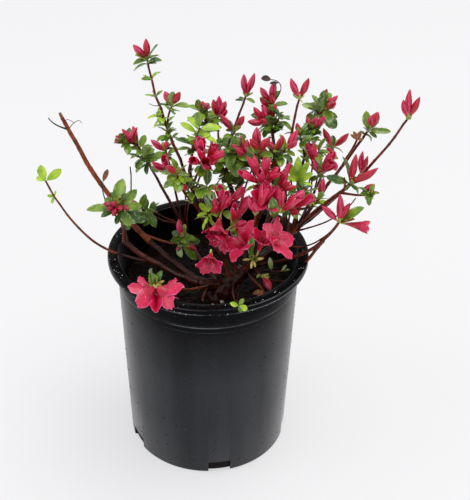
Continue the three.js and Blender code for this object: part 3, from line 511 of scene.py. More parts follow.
# Finer shoots that the solids leave out, in the same words. They stand inside the same masses. They
# were worked out in the same way and then rounded.
leafy_words = "name on at toward reach rise leaves leaf buds"
leafy_shoots = [
    ("tall_tuft", "tall_shoot", 0.5, 155, 45, 298, 7, 9, 0),
    ("tall_tuft_low", "tall_shoot", 0.35, 155, 36, 287, 7, 10, 0),
    ("back_left_low", "back_left", 0.75, 130, 90, 232, 11, 13, 0),
    ("back_left_side", "back_left", 1.0, 135, 103, 245, 5, 12, 3),
    ("twin_pink", "back_left_twin", 0.55, 125, 63, 230, 2, 11, 3),
    ("low_left_tuft", "low_left", 0.6, 205, 26, 262, 7, 12, 0),
    ("low_left_bud", "left_bough", 0.8, 190, 17, 245, 3, 10, 2),
    ("pink_heart", "left_bough", 0.85, 210, 4, 266, 2, 12, 5),
    ("leafy_heart", "left_bough", 0.7, 265, 10, 252, 5, 15, 0),
    ("tuft_shade", "bright_tuft", 0.4, 130, 20, 278, 8, 14, 0),
    ("olive_bud", "mid_left", 0.85, 100, 43, 292, 6, 13, 1),
    ("mid_leaf_left", "mid_bough", 1.0, 75, 23, 267, 9, 14, 0),
    ("mid_leaf_right", "mid_bough", 0.9, 40, 26, 272, 10, 14, 0),
    ("mid_leaf_low", "mid_green", 0.05, 35, 31, 252, 9, 13, 0),
    ("mid_leaf_deep", "mid_green", 0.05, 55, 23, 245, 9, 13, 0),
    ("mid_shade", "mid_bough", 0.65, 25, 26, 243, 4, 14, 0),
    ("deep_buds", "centre_bough", 0.65, 20, 31, 267, 5, 12, 4),
    ("centre_front", "centre_bough", 0.75, 5, 39, 276, 8, 13, 2),
    ("top_low", "top_bough", 0.9, 50, 70, 275, 6, 12, 4),
    ("top_leaves", "top_bough", 0.9, 45, 80, 280, 8, 13, 0),
    ("near_side", "near_pair", 0.8, 10, 61, 275, 7, 11, 2),
    ("near_deep", "near_pair", 0.5, 15, 48, 261, 6, 12, 3),
    ("slim_bud", "back_right", 0.7, 35, 89, 268, 8, 11, 1),
    ("back_right_mid", "back_right", 0.95, 40, 109, 264, 7, 12, 3),
    ("back_right_leaf", "back_right", 0.7, 30, 103, 250, 9, 12, 0),
    ("back_right_fan", "back_right_top", 0.55, 40, 124, 276, 7, 15, 2),
    ("pink_right", "right_pair", 0.4, 25, 99, 235, 3, 11, 4),
    ("hanging_bud", "right_pair", 0.8, 33, 123, 237, 1, 10, 1),
    ("right_leaf", "right_low", 0.9, 355, 106, 262, 4, 17, 0),
    ("sprout_shade", "sprout", 0.85, 10, 72, 241, 9, 14, 0),
    ("high_heart", "high_bloom", 1.0, 335, 46, 260, 2, 12, 5),
    ("high_side", "high_bloom", 1.0, 345, 55, 253, 2, 12, 4),
    ("deep_right", "near_pair", 0.15, 350, 65, 233, 3, 11, 4),
    ("left_heart", "left_bloom", 0.9, 315, 16, 232, 2, 11, 4),
    ("left_side", "left_bloom", 0.6, 320, 26, 221, 2, 11, 3),
    ("young_low", "left_bough", 0.5, 270, 17, 233, 7, 11, 0),
    ("bloom_buds", "bloom_stem", 1.0, 315, 52, 244, 4, 13, 4),
    ("bloom_buds_right", "bloom_stem", 1.0, 330, 63, 243, 3, 15, 4),
    ("pot_bud", "pot_shoot", 1.0, 190, 21, 201, 4, 11, 1),
    ("soil_bud", "trunk", 0.9, 335, 49, 176, 0, 8, 2),
]
# Bare stems, dead twigs and hairs. skin is how the bark of one looks.
bare_words = "name on at toward reach rise sway lift thick thin skin"
bare_shoots = [
    ("fan_a", "right_limb", 0.65, 10, 67, 245, 2, -1, 1.2, 0.8, "dark"),
    ("fan_b", "right_limb", 0.8, 17, 78, 243, 2, -2, 1.2, 0.8, "dark"),
    ("fan_c", "right_limb", 0.9, 20, 89, 237, 4, -1, 1.1, 0.8, "dark"),
    ("fan_d", "right_limb", 0.75, 5, 106, 239, -1, 1, 1.1, 0.8, "tan"),
    ("fan_e", "right_limb", 0.7, 25, 94, 252, 3, -1, 1.1, 0.8, "tan"),
    ("fan_f", "right_limb", 0.55, 18, 62, 238, 2, -1, 1.0, 0.8, "tan"),
    ("fan_low", "right_limb", 0.9, 0, 117, 238, 6, -4, 0.9, 0.6, "dark"),
    ("rim_twig", "right_limb", 0.6, 347, 101, 223, -1, -11, 0.9, 0.7, "tan"),
    ("fork_twin", "fork_stem", 0.5, 20, 127, 267, 0, -2, 1.3, 1.1, "dark"),
    ("slant", "centre_bough", 0.35, 5, 66, 250, -1, -1, 1.0, 0.7, "dark"),
    ("heart_line", "mid_bough", 0.3, 10, 36, 262, -5, -2, 1.0, 0.8, "dark"),
    ("heart_side", "mid_bough", 0.35, 330, 8, 252, -2, 0, 0.9, 0.7, "dark"),
    ("heart_low", "trunk", 0.7, 295, 25, 211, -2, 1, 1.1, 0.8, "dark"),
    ("soil_right", "trunk", 0.8, 343, 64, 179, 0, 0, 0.8, 0.5, "dark"),
    ("soil_low", "trunk", 0.8, 353, 67, 162, 0, -4, 0.8, 0.5, "dark"),
    ("soil_front", "trunk", 0.6, 300, 47, 162, 2, -2, 0.9, 0.9, "dark"),
    ("soil_left", "left_arm", 0.5, 265, 39, 162, -2, 2, 0.9, 0.9, "dark"),
    ("soil_back", "trunk", 0.6, 235, 16, 176, 0, 0, 1.0, 0.7, "dark"),
    ("rim_leg", "front_right", 0.75, 352, 67, 162, -1, -3, 1.5, 1.7, "dark"),
    ("left_line", "back_limb", 0.95, 150, 61, 206, -1, 0, 0.8, 0.6, "tan"),
    ("left_rise", "back_limb", 0.65, 118, 36, 211, -2, 1, 0.8, 0.6, "dark"),
    ("left_back", "back_limb", 0.9, 115, 58, 232, 3, -1, 0.9, 0.7, "dark"),
    ("dead_prong", "cut_stem", 0.95, 164, 134, 285, -2, -1, 0.8, 0.5, "dead"),
    ("dead_hair", "cut_stem", 0.95, 156, 114, 276, 2, 5, 0.35, 0.25, "tan"),
    ("dead_hair_back", "dead_hair", 0.3, 159, 125, 279, -1, 2, 0.25, 0.25, "tan"),
    ("capsule_twig", "rosette", 0.5, 183, 83, 251, -5, 1, 0.8, 0.5, "dead"),
    ("bare_spike", "rosette", 0.3, 183, 61, 265, 3, 3, 0.8, 0.6, "dead"),
    ("old_snag", "old_stem", 0.95, 190, 70, 221, 1, 1, 1.0, 0.5, "dead"),
    ("old_snag_side", "old_snag", 0.45, 190, 66, 219, 1, 0, 0.6, 0.4, "dead"),
    ("top_curl", "top_tip", 0.9, 56, 86, 306, 8, 5, 0.5, 0.4, "dead"),
    ("side_hair", "tall_shoot", 0.6, 151, 54, 305, 0, -1, 0.35, 0.25, "dead"),
    ("strand", "left_arm", 0.8, 227, 30, 162, 2, -6, 0.5, 0.4, "green"),
    ("runner_rise", "runner", 0.8, 288, 82, 188, 2, -2, 0.9, 0.7, "dark"),
    ("sprout_rise", "sprout", 0.8, 8, 71, 247, 1, 0, 1.0, 0.8, "dark"),
]
shoots = [dict(zip(leafy_words.split(), row)) for row in leafy_shoots]
shoots += [dict(zip(bare_words.split(), row), bare=1) for row in bare_shoots]
SHOOT_THICK = 1.0
SHOOT_THIN = 0.8


def make_draw(seed):
    """A seeded draw between 0 and 1, the same as the CAD model's."""
    largest = 2147483647
    state = (seed * 7919 + 101) % largest

    def draw():
        nonlocal state
        state = state * 16807 % largest
        return state / largest

    return draw


def unit(vector):
    return vector / np.linalg.norm(vector)


def lean(axis, turn, tilt):
    """A direction that leans from an axis by tilt degrees, at turn degrees round it."""
    side = np.cross((0, 0, 1), axis)
    side = unit(side) if np.linalg.norm(side) >= 0.05 else np.array((1.0, 0, 0))
    up = np.cross(axis, side)
    across = side * math.cos(math.radians(turn)) + up * math.sin(math.radians(turn))
    return axis * math.cos(math.radians(tilt)) + across * math.sin(math.radians(tilt))


def compass(toward, up):
    level = math.cos(math.radians(up))
    turn = math.radians(toward)
    return np.array((math.cos(turn) * level, math.sin(turn) * level, math.sin(math.radians(up))))


def bend(corners, share):
    """The point of a Bezier curve at a share of it, from its corner points."""
    corners = [np.asarray(c, float) for c in corners]
    while len(corners) > 1:
        corners = [a + (b - a) * share for a, b in zip(corners, corners[1:])]
    return corners[0]


class Limb:
    """One limb: its bend, its taper, and what the table says of it."""

    def __init__(self, name, corners, thick, thin, seed=0, **facts):
        self.name = name
        self.corners = corners
        self.thick = thick
        self.thin = thin
        self.seed = seed
        self.facts = facts
        self.bare = facts.get("bare", 0)
        self.mass = None
        self.in_mass = False
        self.is_shoot = False
        walk = np.array([self.point(i / 200) for i in range(201)])
        self.length = float(np.linalg.norm(np.diff(walk, axis=0), axis=1).sum())

    def point(self, share):
        return bend(self.corners, share)

    def ahead(self, share):
        low, high = max(0, share - 1e-4), min(1, share + 1e-4)
        return unit(self.point(high) - self.point(low))

    def radius(self, share):
        return self.thick + (self.thin - self.thick) * share

    def get(self, word, usual=0):
        return self.facts.get(word, usual)


grown = {name: Limb(name, *facts, bare=1) for name, facts in trunk_paths.items()}
for index, row in enumerate(limbs + shoots):
    carrier = grown[row["on"]]
    start = carrier.point(row["at"])
    toward = math.radians(row["toward"])
    tip = np.array((row["reach"] * math.cos(toward), row["reach"] * math.sin(toward), row["rise"]))
    middle = (start + tip) / 2 + np.array((2 * row.get("sway", 0), 0, 2 * row.get("lift", 0)))
    facts = {k: v for k, v in row.items() if k not in ("name", "thick", "thin")}
    thick, thin = row.get("thick", SHOOT_THICK), row.get("thin", SHOOT_THIN)
    limb = Limb(row["name"], [start, middle, tip], thick, thin, index + 1, **facts)
    limb.is_shoot = index >= len(limbs)
    limb.in_mass = row["at"] > carrier.bare or limb.is_shoot
    own = None if limb.bare == 1 else limb.name + "_foliage"
    limb.mass = carrier.mass or "shoots" if limb.in_mass else own
    grown[limb.name] = limb


def tube(points, radii, sides, ribs=0.0, rib_count=RIB_COUNT, phase=0.0):
    """Points and faces of a round stem with a radius at each point and ribs along it."""
    points = np.asarray(points, float)
    ahead = np.gradient(points, axis=0)
    ahead = ahead / np.linalg.norm(ahead, axis=1)[:, None]
    side = lean(ahead[0], 0, 90)
    angles = np.arange(sides) * 2 * math.pi / sides
    rings = []
    for k, (point, forward, radius) in enumerate(zip(points, ahead, radii)):
        side = unit(side - forward * side.dot(forward))
        up = np.cross(forward, side)
        wave = 1 + ribs * np.cos(rib_count * angles + phase + RIB_DRIFT * k)
        wave = wave + 0.5 * ribs * np.cos((rib_count - 2) * angles - FINE_DRIFT * k)
        circle = np.cos(angles)[:, None] * side + np.sin(angles)[:, None] * up
        rings.append(point + (radius * wave)[:, None] * circle)
    faces = []
    for k in range(len(points) - 1):
        for i in range(sides):
            a, b = k * sides + i, k * sides + (i + 1) % sides
            faces.append([a, b, b + sides, a + sides])
    last = (len(points) - 1) * sides
    faces += [list(range(sides - 1, -1, -1)), [last + i for i in range(sides)]]
    return np.concatenate(rings), faces


def stem_mesh(limb, low, high, sides):
    """The stem of a limb between two shares of its length, with scars, collar and small kinks."""
    chance = np.random.default_rng(1000 + limb.seed)
    count = max(4, int(limb.length * (high - low) / BARK_STEP))
    shares = np.linspace(low, high, count)
    walked = shares * limb.length
    radii = SLIMNESS * np.array([limb.radius(s) for s in shares])
    scars = np.cumsum(chance.uniform(0.6, 1.4, MOST_SCARS) * SCAR_STEP)
    for scar in scars:
        radii = radii + SCAR_SWELL * limb.thin * np.exp(-(((walked - scar) / SCAR_WIDTH) ** 2))
    if "on" in limb.facts:
        inside = grown[limb.facts["on"]].radius(limb.facts["at"])
        radii = radii * (1 + COLLAR * np.exp(-np.maximum(0, walked - inside) / COLLAR_FADE))
    points = np.array([limb.point(s) for s in shares])
    waver = np.zeros_like(points)
    for axis in range(3):
        strays = chance.normal(0, KINK, MOST_SCARS + 1)
        waver[:, axis] = np.interp(walked, np.concatenate([[0], scars]), strays)
    to_tip = limb.length - walked
    fade = np.minimum(1, walked / STRAIGHT_FOOT) * np.minimum(1, to_tip / STRAIGHT_TIP)
    points = points + waver * fade[:, None] * min(1.0, limb.thick / 2)
    return tube(points, radii, sides, RIBS, RIB_COUNT, chance.uniform(0, 6))


bark_heap = Heap()
OLD_BARK, RED_BARK, TAN_BARK, WET_AND_SHADED_BARK = range(4)
tan_limbs = ("arching_stem", "cut_stem", "front_stem", "brown_tip", "pot_shoot")
red_limbs = ("far_right", "fork_stem", "long_pair", "front_right", "right_low", "tall_shoot")
for name in trunk_paths:
    limb = grown[name]
    shares = np.linspace(0, 1, 40)
    flare = TRUNK_FLARE * np.exp(-FLARE_FALL * np.maximum(0, shares - FLARE_FOOT))
    radii = np.array([limb.radius(s) for s in shares]) + (flare if name == "trunk" else 0)
    swell = 1
    for height, waves, shift in TRUNK_SWELLS:
        swell = swell + height * np.sin(shares * waves + shift)
    middle = [limb.point(s) for s in shares]
    points, faces = tube(middle, radii * swell, TRUNK_SIDES, TRUNK_RIBS, TRUNK_RIB_COUNT)
    points[:, 2] = np.maximum(points[:, 2], TRUNK_FOOT)
    bark_heap.add(points, faces, WET_AND_SHADED_BARK)
boughs = [
    limb
    for limb in grown.values()
    if limb.name not in trunk_paths and not limb.in_mass and limb.bare
]
for limb in boughs:
    number = TAN_BARK if limb.name in tan_limbs else RED_BARK if limb.name in red_limbs else OLD_BARK
    points, faces = stem_mesh(limb, 0, limb.bare, 16 if limb.thick > 3 else 12)
    # The lower part of each bough takes the dark wet bark: painted shade low in the plant.
    shaded = int(len(faces) * SHADED_SHARE)
    bark_heap.add(points, faces, [WET_AND_SHADED_BARK] * shaded + [number] * (len(faces) - shaded))


# Azalea bark is thin and smooth on young wood, red-brown with fine ribs lengthwise, and wet here,
# so the eye sees dark lines along it and small sharp glints.
def bark_finish(name, dark, light, roughness=0.42):
    finish, tree, shader, place = new_finish(name)
    streaks = add_node(tree, "Mapping", {"Vector": place, "Scale": (1, 1, 0.3)})
    grain = add_node(tree, "TexNoise", {"Vector": streaks, "Scale": 700.0, "Detail": 5.0})
    patches = add_node(tree, "TexNoise", {"Vector": place, "Scale": 90.0, "Detail": 3.0})
    both = add_node(tree, "Math", {0: grain, 1: patches}, operation="MULTIPLY")
    share = add_node(tree, "MapRange", {"Value": both, "From Min": 0.14, "From Max": 0.38})
    values = {"Roughness": roughness, "Specular IOR Level": 0.2}
    values.update({"Coat Weight": 0.12, "Coat Roughness": 0.15})
    dress(tree, shader, share, (dark, light), grain, 0.5, 0.3, values)
    return finish


old_bark = bark_finish("old_azalea_bark", "#1d0803", "#5e2611")
red_bark = bark_finish("red_brown_bark", "#340d05", "#803116")
tan_bark = bark_finish("orange_brown_bark", "#4c1a08", "#944620")
# The dark wet bark is the trunk's own wet colour, and painted shade on the feet of the boughs.
wet_shaded_bark = bark_finish("wet_old_bark", "#140502", "#441a0c", 0.3)
bark = bark_heap.piece("azalea_bark", [old_bark, red_bark, tan_bark, wet_shaded_bark])
bough_nodes = ["trunk"] + [limb.name for limb in boughs]
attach(bark, "root")
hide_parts(*bough_nodes)


# The twigs: the stems inside each mass of foliage, thinner and redder than the boughs, with the
# bare shoots and dead hairs between them, and a stub of bare cut wood.
twig_heap = Heap()
OLD_TWIG, RED_TWIG, TAN_TWIG, DEAD_TWIG, GREEN_STRAND, CUT_WOOD = range(6)
skins = {"tan": TAN_TWIG, "dead": DEAD_TWIG, "green": GREEN_STRAND}
foliated = [limb for limb in grown.values() if limb.mass and not (limb.is_shoot and limb.bare)]
for limb in foliated:
    low = 0 if limb.in_mass or not limb.bare else limb.bare
    number = TAN_TWIG if limb.name in tan_limbs else RED_TWIG
    twig_heap.add(*stem_mesh(limb, low, 1, 9), number)
for limb in grown.values():
    if limb.is_shoot and limb.bare:
        number = skins.get(limb.get("skin"), RED_TWIG if limb.seed % 2 else OLD_TWIG)
        twig_heap.add(*stem_mesh(limb, 0, 1, 8), number)
snag = grown["cut_stem"]
stub = [snag.point(1) + snag.ahead(1) * d for d in (-2, 0, 2, 4.2, 4.6)]
twig_heap.add(*tube(stub, [1.3, 1.5, 1.35, 1.15, 0.7], 9), CUT_WOOD)
dead_bark = bark_finish("dead_twig", "#1d1512", "#4d3b30", 0.6)
strand_skin = bark_finish("grey_green_strand", "#3a4228", "#7a8460", 0.5)
cut_wood = bark_finish("cut_wood", "#7a4a20", "#c08a50", 0.6)
twig_finishes = [old_bark, red_bark, tan_bark, dead_bark, strand_skin, cut_wood]
twigs = twig_heap.piece("azalea_twigs", twig_finishes)
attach(twigs, "root")
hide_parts(*sorted({limb.mass for limb in foliated if not limb.is_shoot}))


# What grows on a limb, by the rule of the CAD model: blossoms and buds at the tip, leaves on a
# golden turn below them, and small tufts on the way. Whatever would touch another limb, the pot or
# the mix is left out, and the ones before it keep their places.
GAP = 0.3
BUD_LENGTH, BUD_RADIUS = 16, 3
BUD_TILT, BUD_CROWDING = 20, 5
STALK = 5
PETALS = 5
PETAL_TURN = 360 / PETALS
PETAL_LENGTH, PETAL_TILT, PETAL_ROOM = 19, 58, 4.5
TUBE_LENGTH, TUBE_RADIUS, THROAT_DEPTH = 13, 4.2, 4
GOLDEN_TURN = 137.5
LEAF_WIDTH = 0.5
LEAF_FIRST, LEAF_STEP = 0.5, 1.1  # from the tip to the first leaf, and from leaf to leaf
LEAF_TILT, LEAF_OPENING = 48, 50
TILT_DRIFT, TURN_DRIFT, SIZE_DRIFT = 14, 20, 0.5
LOWEST_TUFT, HIGHEST_TUFT, TUFT_ROOM = 0.15, 0.86, 0.06
TUFT_LEAVES, TUFT_TURN, TUFT_TILT = 4, 70, 46
TUFT_LEAF, TUFT_SPREAD = 7, 5
CAPSULE_STEPS = 8
RIM_ROOM = 3


def growth(limb):
    """The blossoms, buds and leaves that a limb would bear if it had room for all."""
    draw = make_draw(limb.seed)
    found = []
    turn = limb.get("turn")
    tip, ahead = limb.point(1), limb.ahead(1)
    blooms = limb.get("blooms")
    for k in range(blooms):
        aside = limb.get("spread") * (k / (blooms - 1) - 0.5) if blooms > 1 else 0
        face = limb.get("face")
        look = compass(face[0] + aside, face[1])
        own_turn, scale = PETAL_TURN * draw(), limb.get("bloomScale")
        found.append(dict(kind="bloom", start=tip, ahead=look, turn=own_turn, scale=scale))
    buds = limb.get("buds")
    for k in range(buds):
        tilt = BUD_TILT / 2 if buds == 1 else BUD_TILT + BUD_CROWDING * buds * draw()
        out = lean(ahead, turn + 360 / buds * k + TURN_DRIFT * (draw() - 0.5), tilt)
        scale = limb.get("budScale", 1) * (1 + SIZE_DRIFT * (draw() - 0.5) * 0.5)
        found.append(dict(kind="bud", start=tip, ahead=out, scale=scale))
    leaves = limb.get("leaves")
    for k in range(leaves):
        start = limb.point(1 - (LEAF_FIRST + LEAF_STEP * k) / limb.length)
        tilt = LEAF_TILT + LEAF_OPENING * k / leaves + TILT_DRIFT * (draw() - 0.5)
        out = lean(ahead, turn + GOLDEN_TURN * (k + 0.5), tilt)
        length = limb.get("leaf") * (1 + SIZE_DRIFT * (draw() - 0.5))
        found.append(dict(kind="leaf", start=start, ahead=out, length=length, tuft=False))
    tufts = limb.get("tufts")
    for k in range(tufts):
        low = max(limb.bare, LOWEST_TUFT) + TUFT_ROOM
        share = low + (HIGHEST_TUFT - low) * (k + draw()) / tufts
        spin = 360 * draw()
        for m in range(TUFT_LEAVES):
            start = limb.point(share - LEAF_FIRST * m / limb.length)
            out = lean(limb.ahead(share), spin + TUFT_TURN * m, TUFT_TILT + TILT_DRIFT * draw())
            length = TUFT_LEAF + TUFT_SPREAD * draw()
            found.append(dict(kind="leaf", start=start, ahead=out, length=length, tuft=True))
    return found


class Space:
    """The lines with a radius that keep limbs, leaves, buds and blossoms apart."""

    def __init__(self):
        self.owners = []
        self.rows = []

    def add(self, owner, start, end, radius):
        self.owners.append(owner)
        self.rows.append(np.concatenate([start, end, [radius]]))

    def is_clear(self, owner, start, end, radius):
        """Whether a line with a radius stands clear of every line that others own."""
        others = np.array([o != owner for o in self.owners])
        rows = np.array(self.rows)[others]
        own, other = end - start, rows[:, 3:6] - rows[:, 0:3]
        between = start - rows[:, 0:3]
        own_square, other_square = own @ own, np.einsum("ij,ij->i", other, other)
        other_gap = np.einsum("ij,ij->i", other, between)
        both, own_gap = other @ own, between @ own
        flat = own_square * other_square - both * both
        safe = np.where(flat > 1e-9, flat, 1)
        share = np.clip((both * other_gap - own_gap * other_square) / safe, 0, 1)
        share = np.where(flat > 1e-9, share, 0)
        other_share = np.clip((both * share + other_gap) / other_square, 0, 1)
        share = np.clip((both * other_share - own_gap) / own_square, 0, 1)
        here = start + own * share[:, None]
        there = rows[:, 0:3] + other * other_share[:, None]
        return bool(np.all(np.linalg.norm(here - there, axis=1) > radius + rows[:, 6] + GAP))


def is_in_free_air(point, room=1):
    """Whether a point is out of the mix and the pot's wall and rim, with some room."""
    across = math.hypot(point[0], point[1])
    if across < TOP_RADIUS + room:
        if point[2] < MIX_TOP + room:
            return False
        return point[2] > POT_HEIGHT + room or across < TOP_RADIUS - WALL - RIM_ROOM - room
    return across > RIM_RADIUS + room or point[2] > POT_HEIGHT + room


space = Space()
for limb in grown.values():
    if limb.is_shoot:
        continue
    for i in range(CAPSULE_STEPS):
        a, b = i / CAPSULE_STEPS, (i + 1) / CAPSULE_STEPS
        on_bough = not limb.in_mass and (a + b) / 2 < limb.bare
        owner = limb.name if on_bough else limb.mass
        owner = "trunk" if limb.name in trunk_paths else owner
        space.add(owner, limb.point(a), limb.point(b), limb.radius(a))

wanted = {limb.name: growth(limb) for limb in foliated}
items = []
for kind in ("bloom", "bud", "leaf"):
    for limb in foliated:
        for item in wanted[limb.name]:
            if item["kind"] != kind or limb.is_shoot:
                continue
            start, ahead = item["start"], item["ahead"]
            if kind == "leaf":
                length, radius = item["length"], LEAF_WIDTH * item["length"] / 3
            elif kind == "bud":
                length, radius = STALK + BUD_LENGTH * item["scale"], BUD_RADIUS * item["scale"]
            else:
                length, radius = STALK + TUBE_LENGTH * item["scale"], TUBE_RADIUS * item["scale"]
            ends = [(start + ahead * 2, start + ahead * length, radius)]
            if kind == "bloom":
                mouth = start + ahead * (length - THROAT_DEPTH)
                for k in range(PETALS):
                    out = lean(ahead, item["turn"] + PETAL_TURN * k, PETAL_TILT)
                    reach = mouth + out * PETAL_LENGTH * item["scale"]
                    ends.append((mouth, reach, PETAL_ROOM * item["scale"]))
            if all(space.is_clear(limb.mass, *e) and is_in_free_air(e[1]) for e in ends):
                for e in ends:
                    space.add(limb.mass, *e)
                items.append(dict(item, limb=limb))

# The finer shoots grow by the same rule, and every whorl gets more and smaller leaves than the
# solids have. They may crowd each other, as on the plant, but stay out of the pot and the mix.
MORE_LEAVES = 0.8
LEAST_LEAVES = 2
WHORL_DEPTH = 1.6
EXTRA_TILTS = (40, 95)
EXTRA_SIZES = (0.45, 0.95)
chance = np.random.default_rng(5)
for limb in foliated:
    if limb.is_shoot:
        items += [dict(item, limb=limb) for item in wanted[limb.name]]
    for k in range(int(limb.get("leaves") * MORE_LEAVES) + LEAST_LEAVES):
        back = chance.uniform(0, WHORL_DEPTH * max(3, limb.get("leaves")))
        start = limb.point(max(0.1, 1 - back / limb.length))
        out = lean(limb.ahead(1), 360 * chance.random(), chance.uniform(*EXTRA_TILTS))
        length = limb.get("leaf") * chance.uniform(*EXTRA_SIZES)
        items.append(dict(kind="leaf", start=start, ahead=out, length=length, tuft=False, limb=limb))
lengths = {"leaf": 1, "bud": STALK + BUD_LENGTH, "bloom": STALK + TUBE_LENGTH}
items = [
    item
    for item in items
    if is_in_free_air(item["start"] + item["ahead"] * lengths[item["kind"]] * item.get("length", 1))
]


# The leaves: small leathery ovals with a sunk midrib, cupped and arched back, glossy above and
# paler below. They are bright yellow-green where new, and stand in whorls under the buds.
LEAF_OUTLINE = [
    (0, 0.07), (0.1, 0.12), (0.24, 0.56), (0.42, 0.88), (0.6, 1.0), (0.78, 0.9), (0.92, 0.55), (1, 0.06),
]  # shares of the length and of the half width
RIB_EDGE, QUILTED = 0.05, 0.52  # columns beside the midrib, and where the blade is quilted
LEAF_COLUMNS = [-1, -QUILTED, -RIB_EDGE, RIB_EDGE, QUILTED, 1]
RIB_CELL = 2
QUILTING = 0.018  # height of the quilting as a share of the length
LEAF_THICKNESS = 0.3
ARCH_CURVE, ARCH_DROP, ARCH_SHORTENS = 2.2, 0.5, 0.15  # how an arched leaf bends
shell_faces = {}


def shell(grid, thick):
    """A thin closed sheet: a grid of points and its copy below, joined round the edge."""
    rows, columns = grid.shape[:2]
    lengthwise, across = np.gradient(grid, axis=0), np.gradient(grid, axis=1)
    normal = np.cross(across, lengthwise)
    normal = normal / np.maximum(np.linalg.norm(normal, axis=2, keepdims=True), 1e-9)
    inner = grid[1:-1, 1:-1] - normal[1:-1, 1:-1] * thick
    if (rows, columns) not in shell_faces:
        top = np.arange(rows * columns).reshape(rows, columns)
        below = top.copy()
        inside = np.arange((rows - 2) * (columns - 2)).reshape(rows - 2, columns - 2)
        below[1:-1, 1:-1] = rows * columns + inside
        faces, cells = [], []
        for r in range(rows - 1):
            for c in range(columns - 1):
                faces.append([top[r, c], top[r, c + 1], top[r + 1, c + 1], top[r + 1, c]])
                faces.append([below[r + 1, c], below[r + 1, c + 1], below[r, c + 1], below[r, c]])
                cells += [(r, c, False), (r, c, True)]
        shell_faces[rows, columns] = ([[int(i) for i in f] for f in faces], cells)
    faces, cells = shell_faces[rows, columns]
    return np.concatenate([grid.reshape(-1, 3), inner.reshape(-1, 3)]), faces, cells


def basis(ahead, face_up=(0, 0, 1)):
    """Rows that carry a shape made along +Y, face up, to a direction."""
    side = np.cross(ahead, face_up)
    side = unit(side) if np.linalg.norm(side) >= 0.05 else unit(np.cross(ahead, (1, 0, 0)))
    return np.array([side, ahead, np.cross(side, ahead)])


def leaf_grid(length, width, arch, cup, twist):
    """A leaf along +Y: width and cup are shares of its length, and arch bends its tip down."""
    grid = np.zeros((len(LEAF_OUTLINE), len(LEAF_COLUMNS), 3))
    for r, (share, spread) in enumerate(LEAF_OUTLINE):
        half = spread * width * length / 2
        quilt = QUILTING * length * (-1) ** r
        roll = math.radians(twist) * share
        y = share * length * (1 - ARCH_SHORTENS * arch)
        drop = arch * length * share**ARCH_CURVE * ARCH_DROP
        for c, column in enumerate(LEAF_COLUMNS):
            x = column * half
            z = cup * abs(x) + (quilt if abs(column) == QUILTED else 0)
            turned_x = x * math.cos(roll) - z * math.sin(roll)
            grid[r, c] = (turned_x, y, x * math.sin(roll) + z * math.cos(roll) - drop)
    return grid


DARK, MID, YOUNG, UNDER, MIDRIB, DRIED, BLACK, BRACT = range(8)
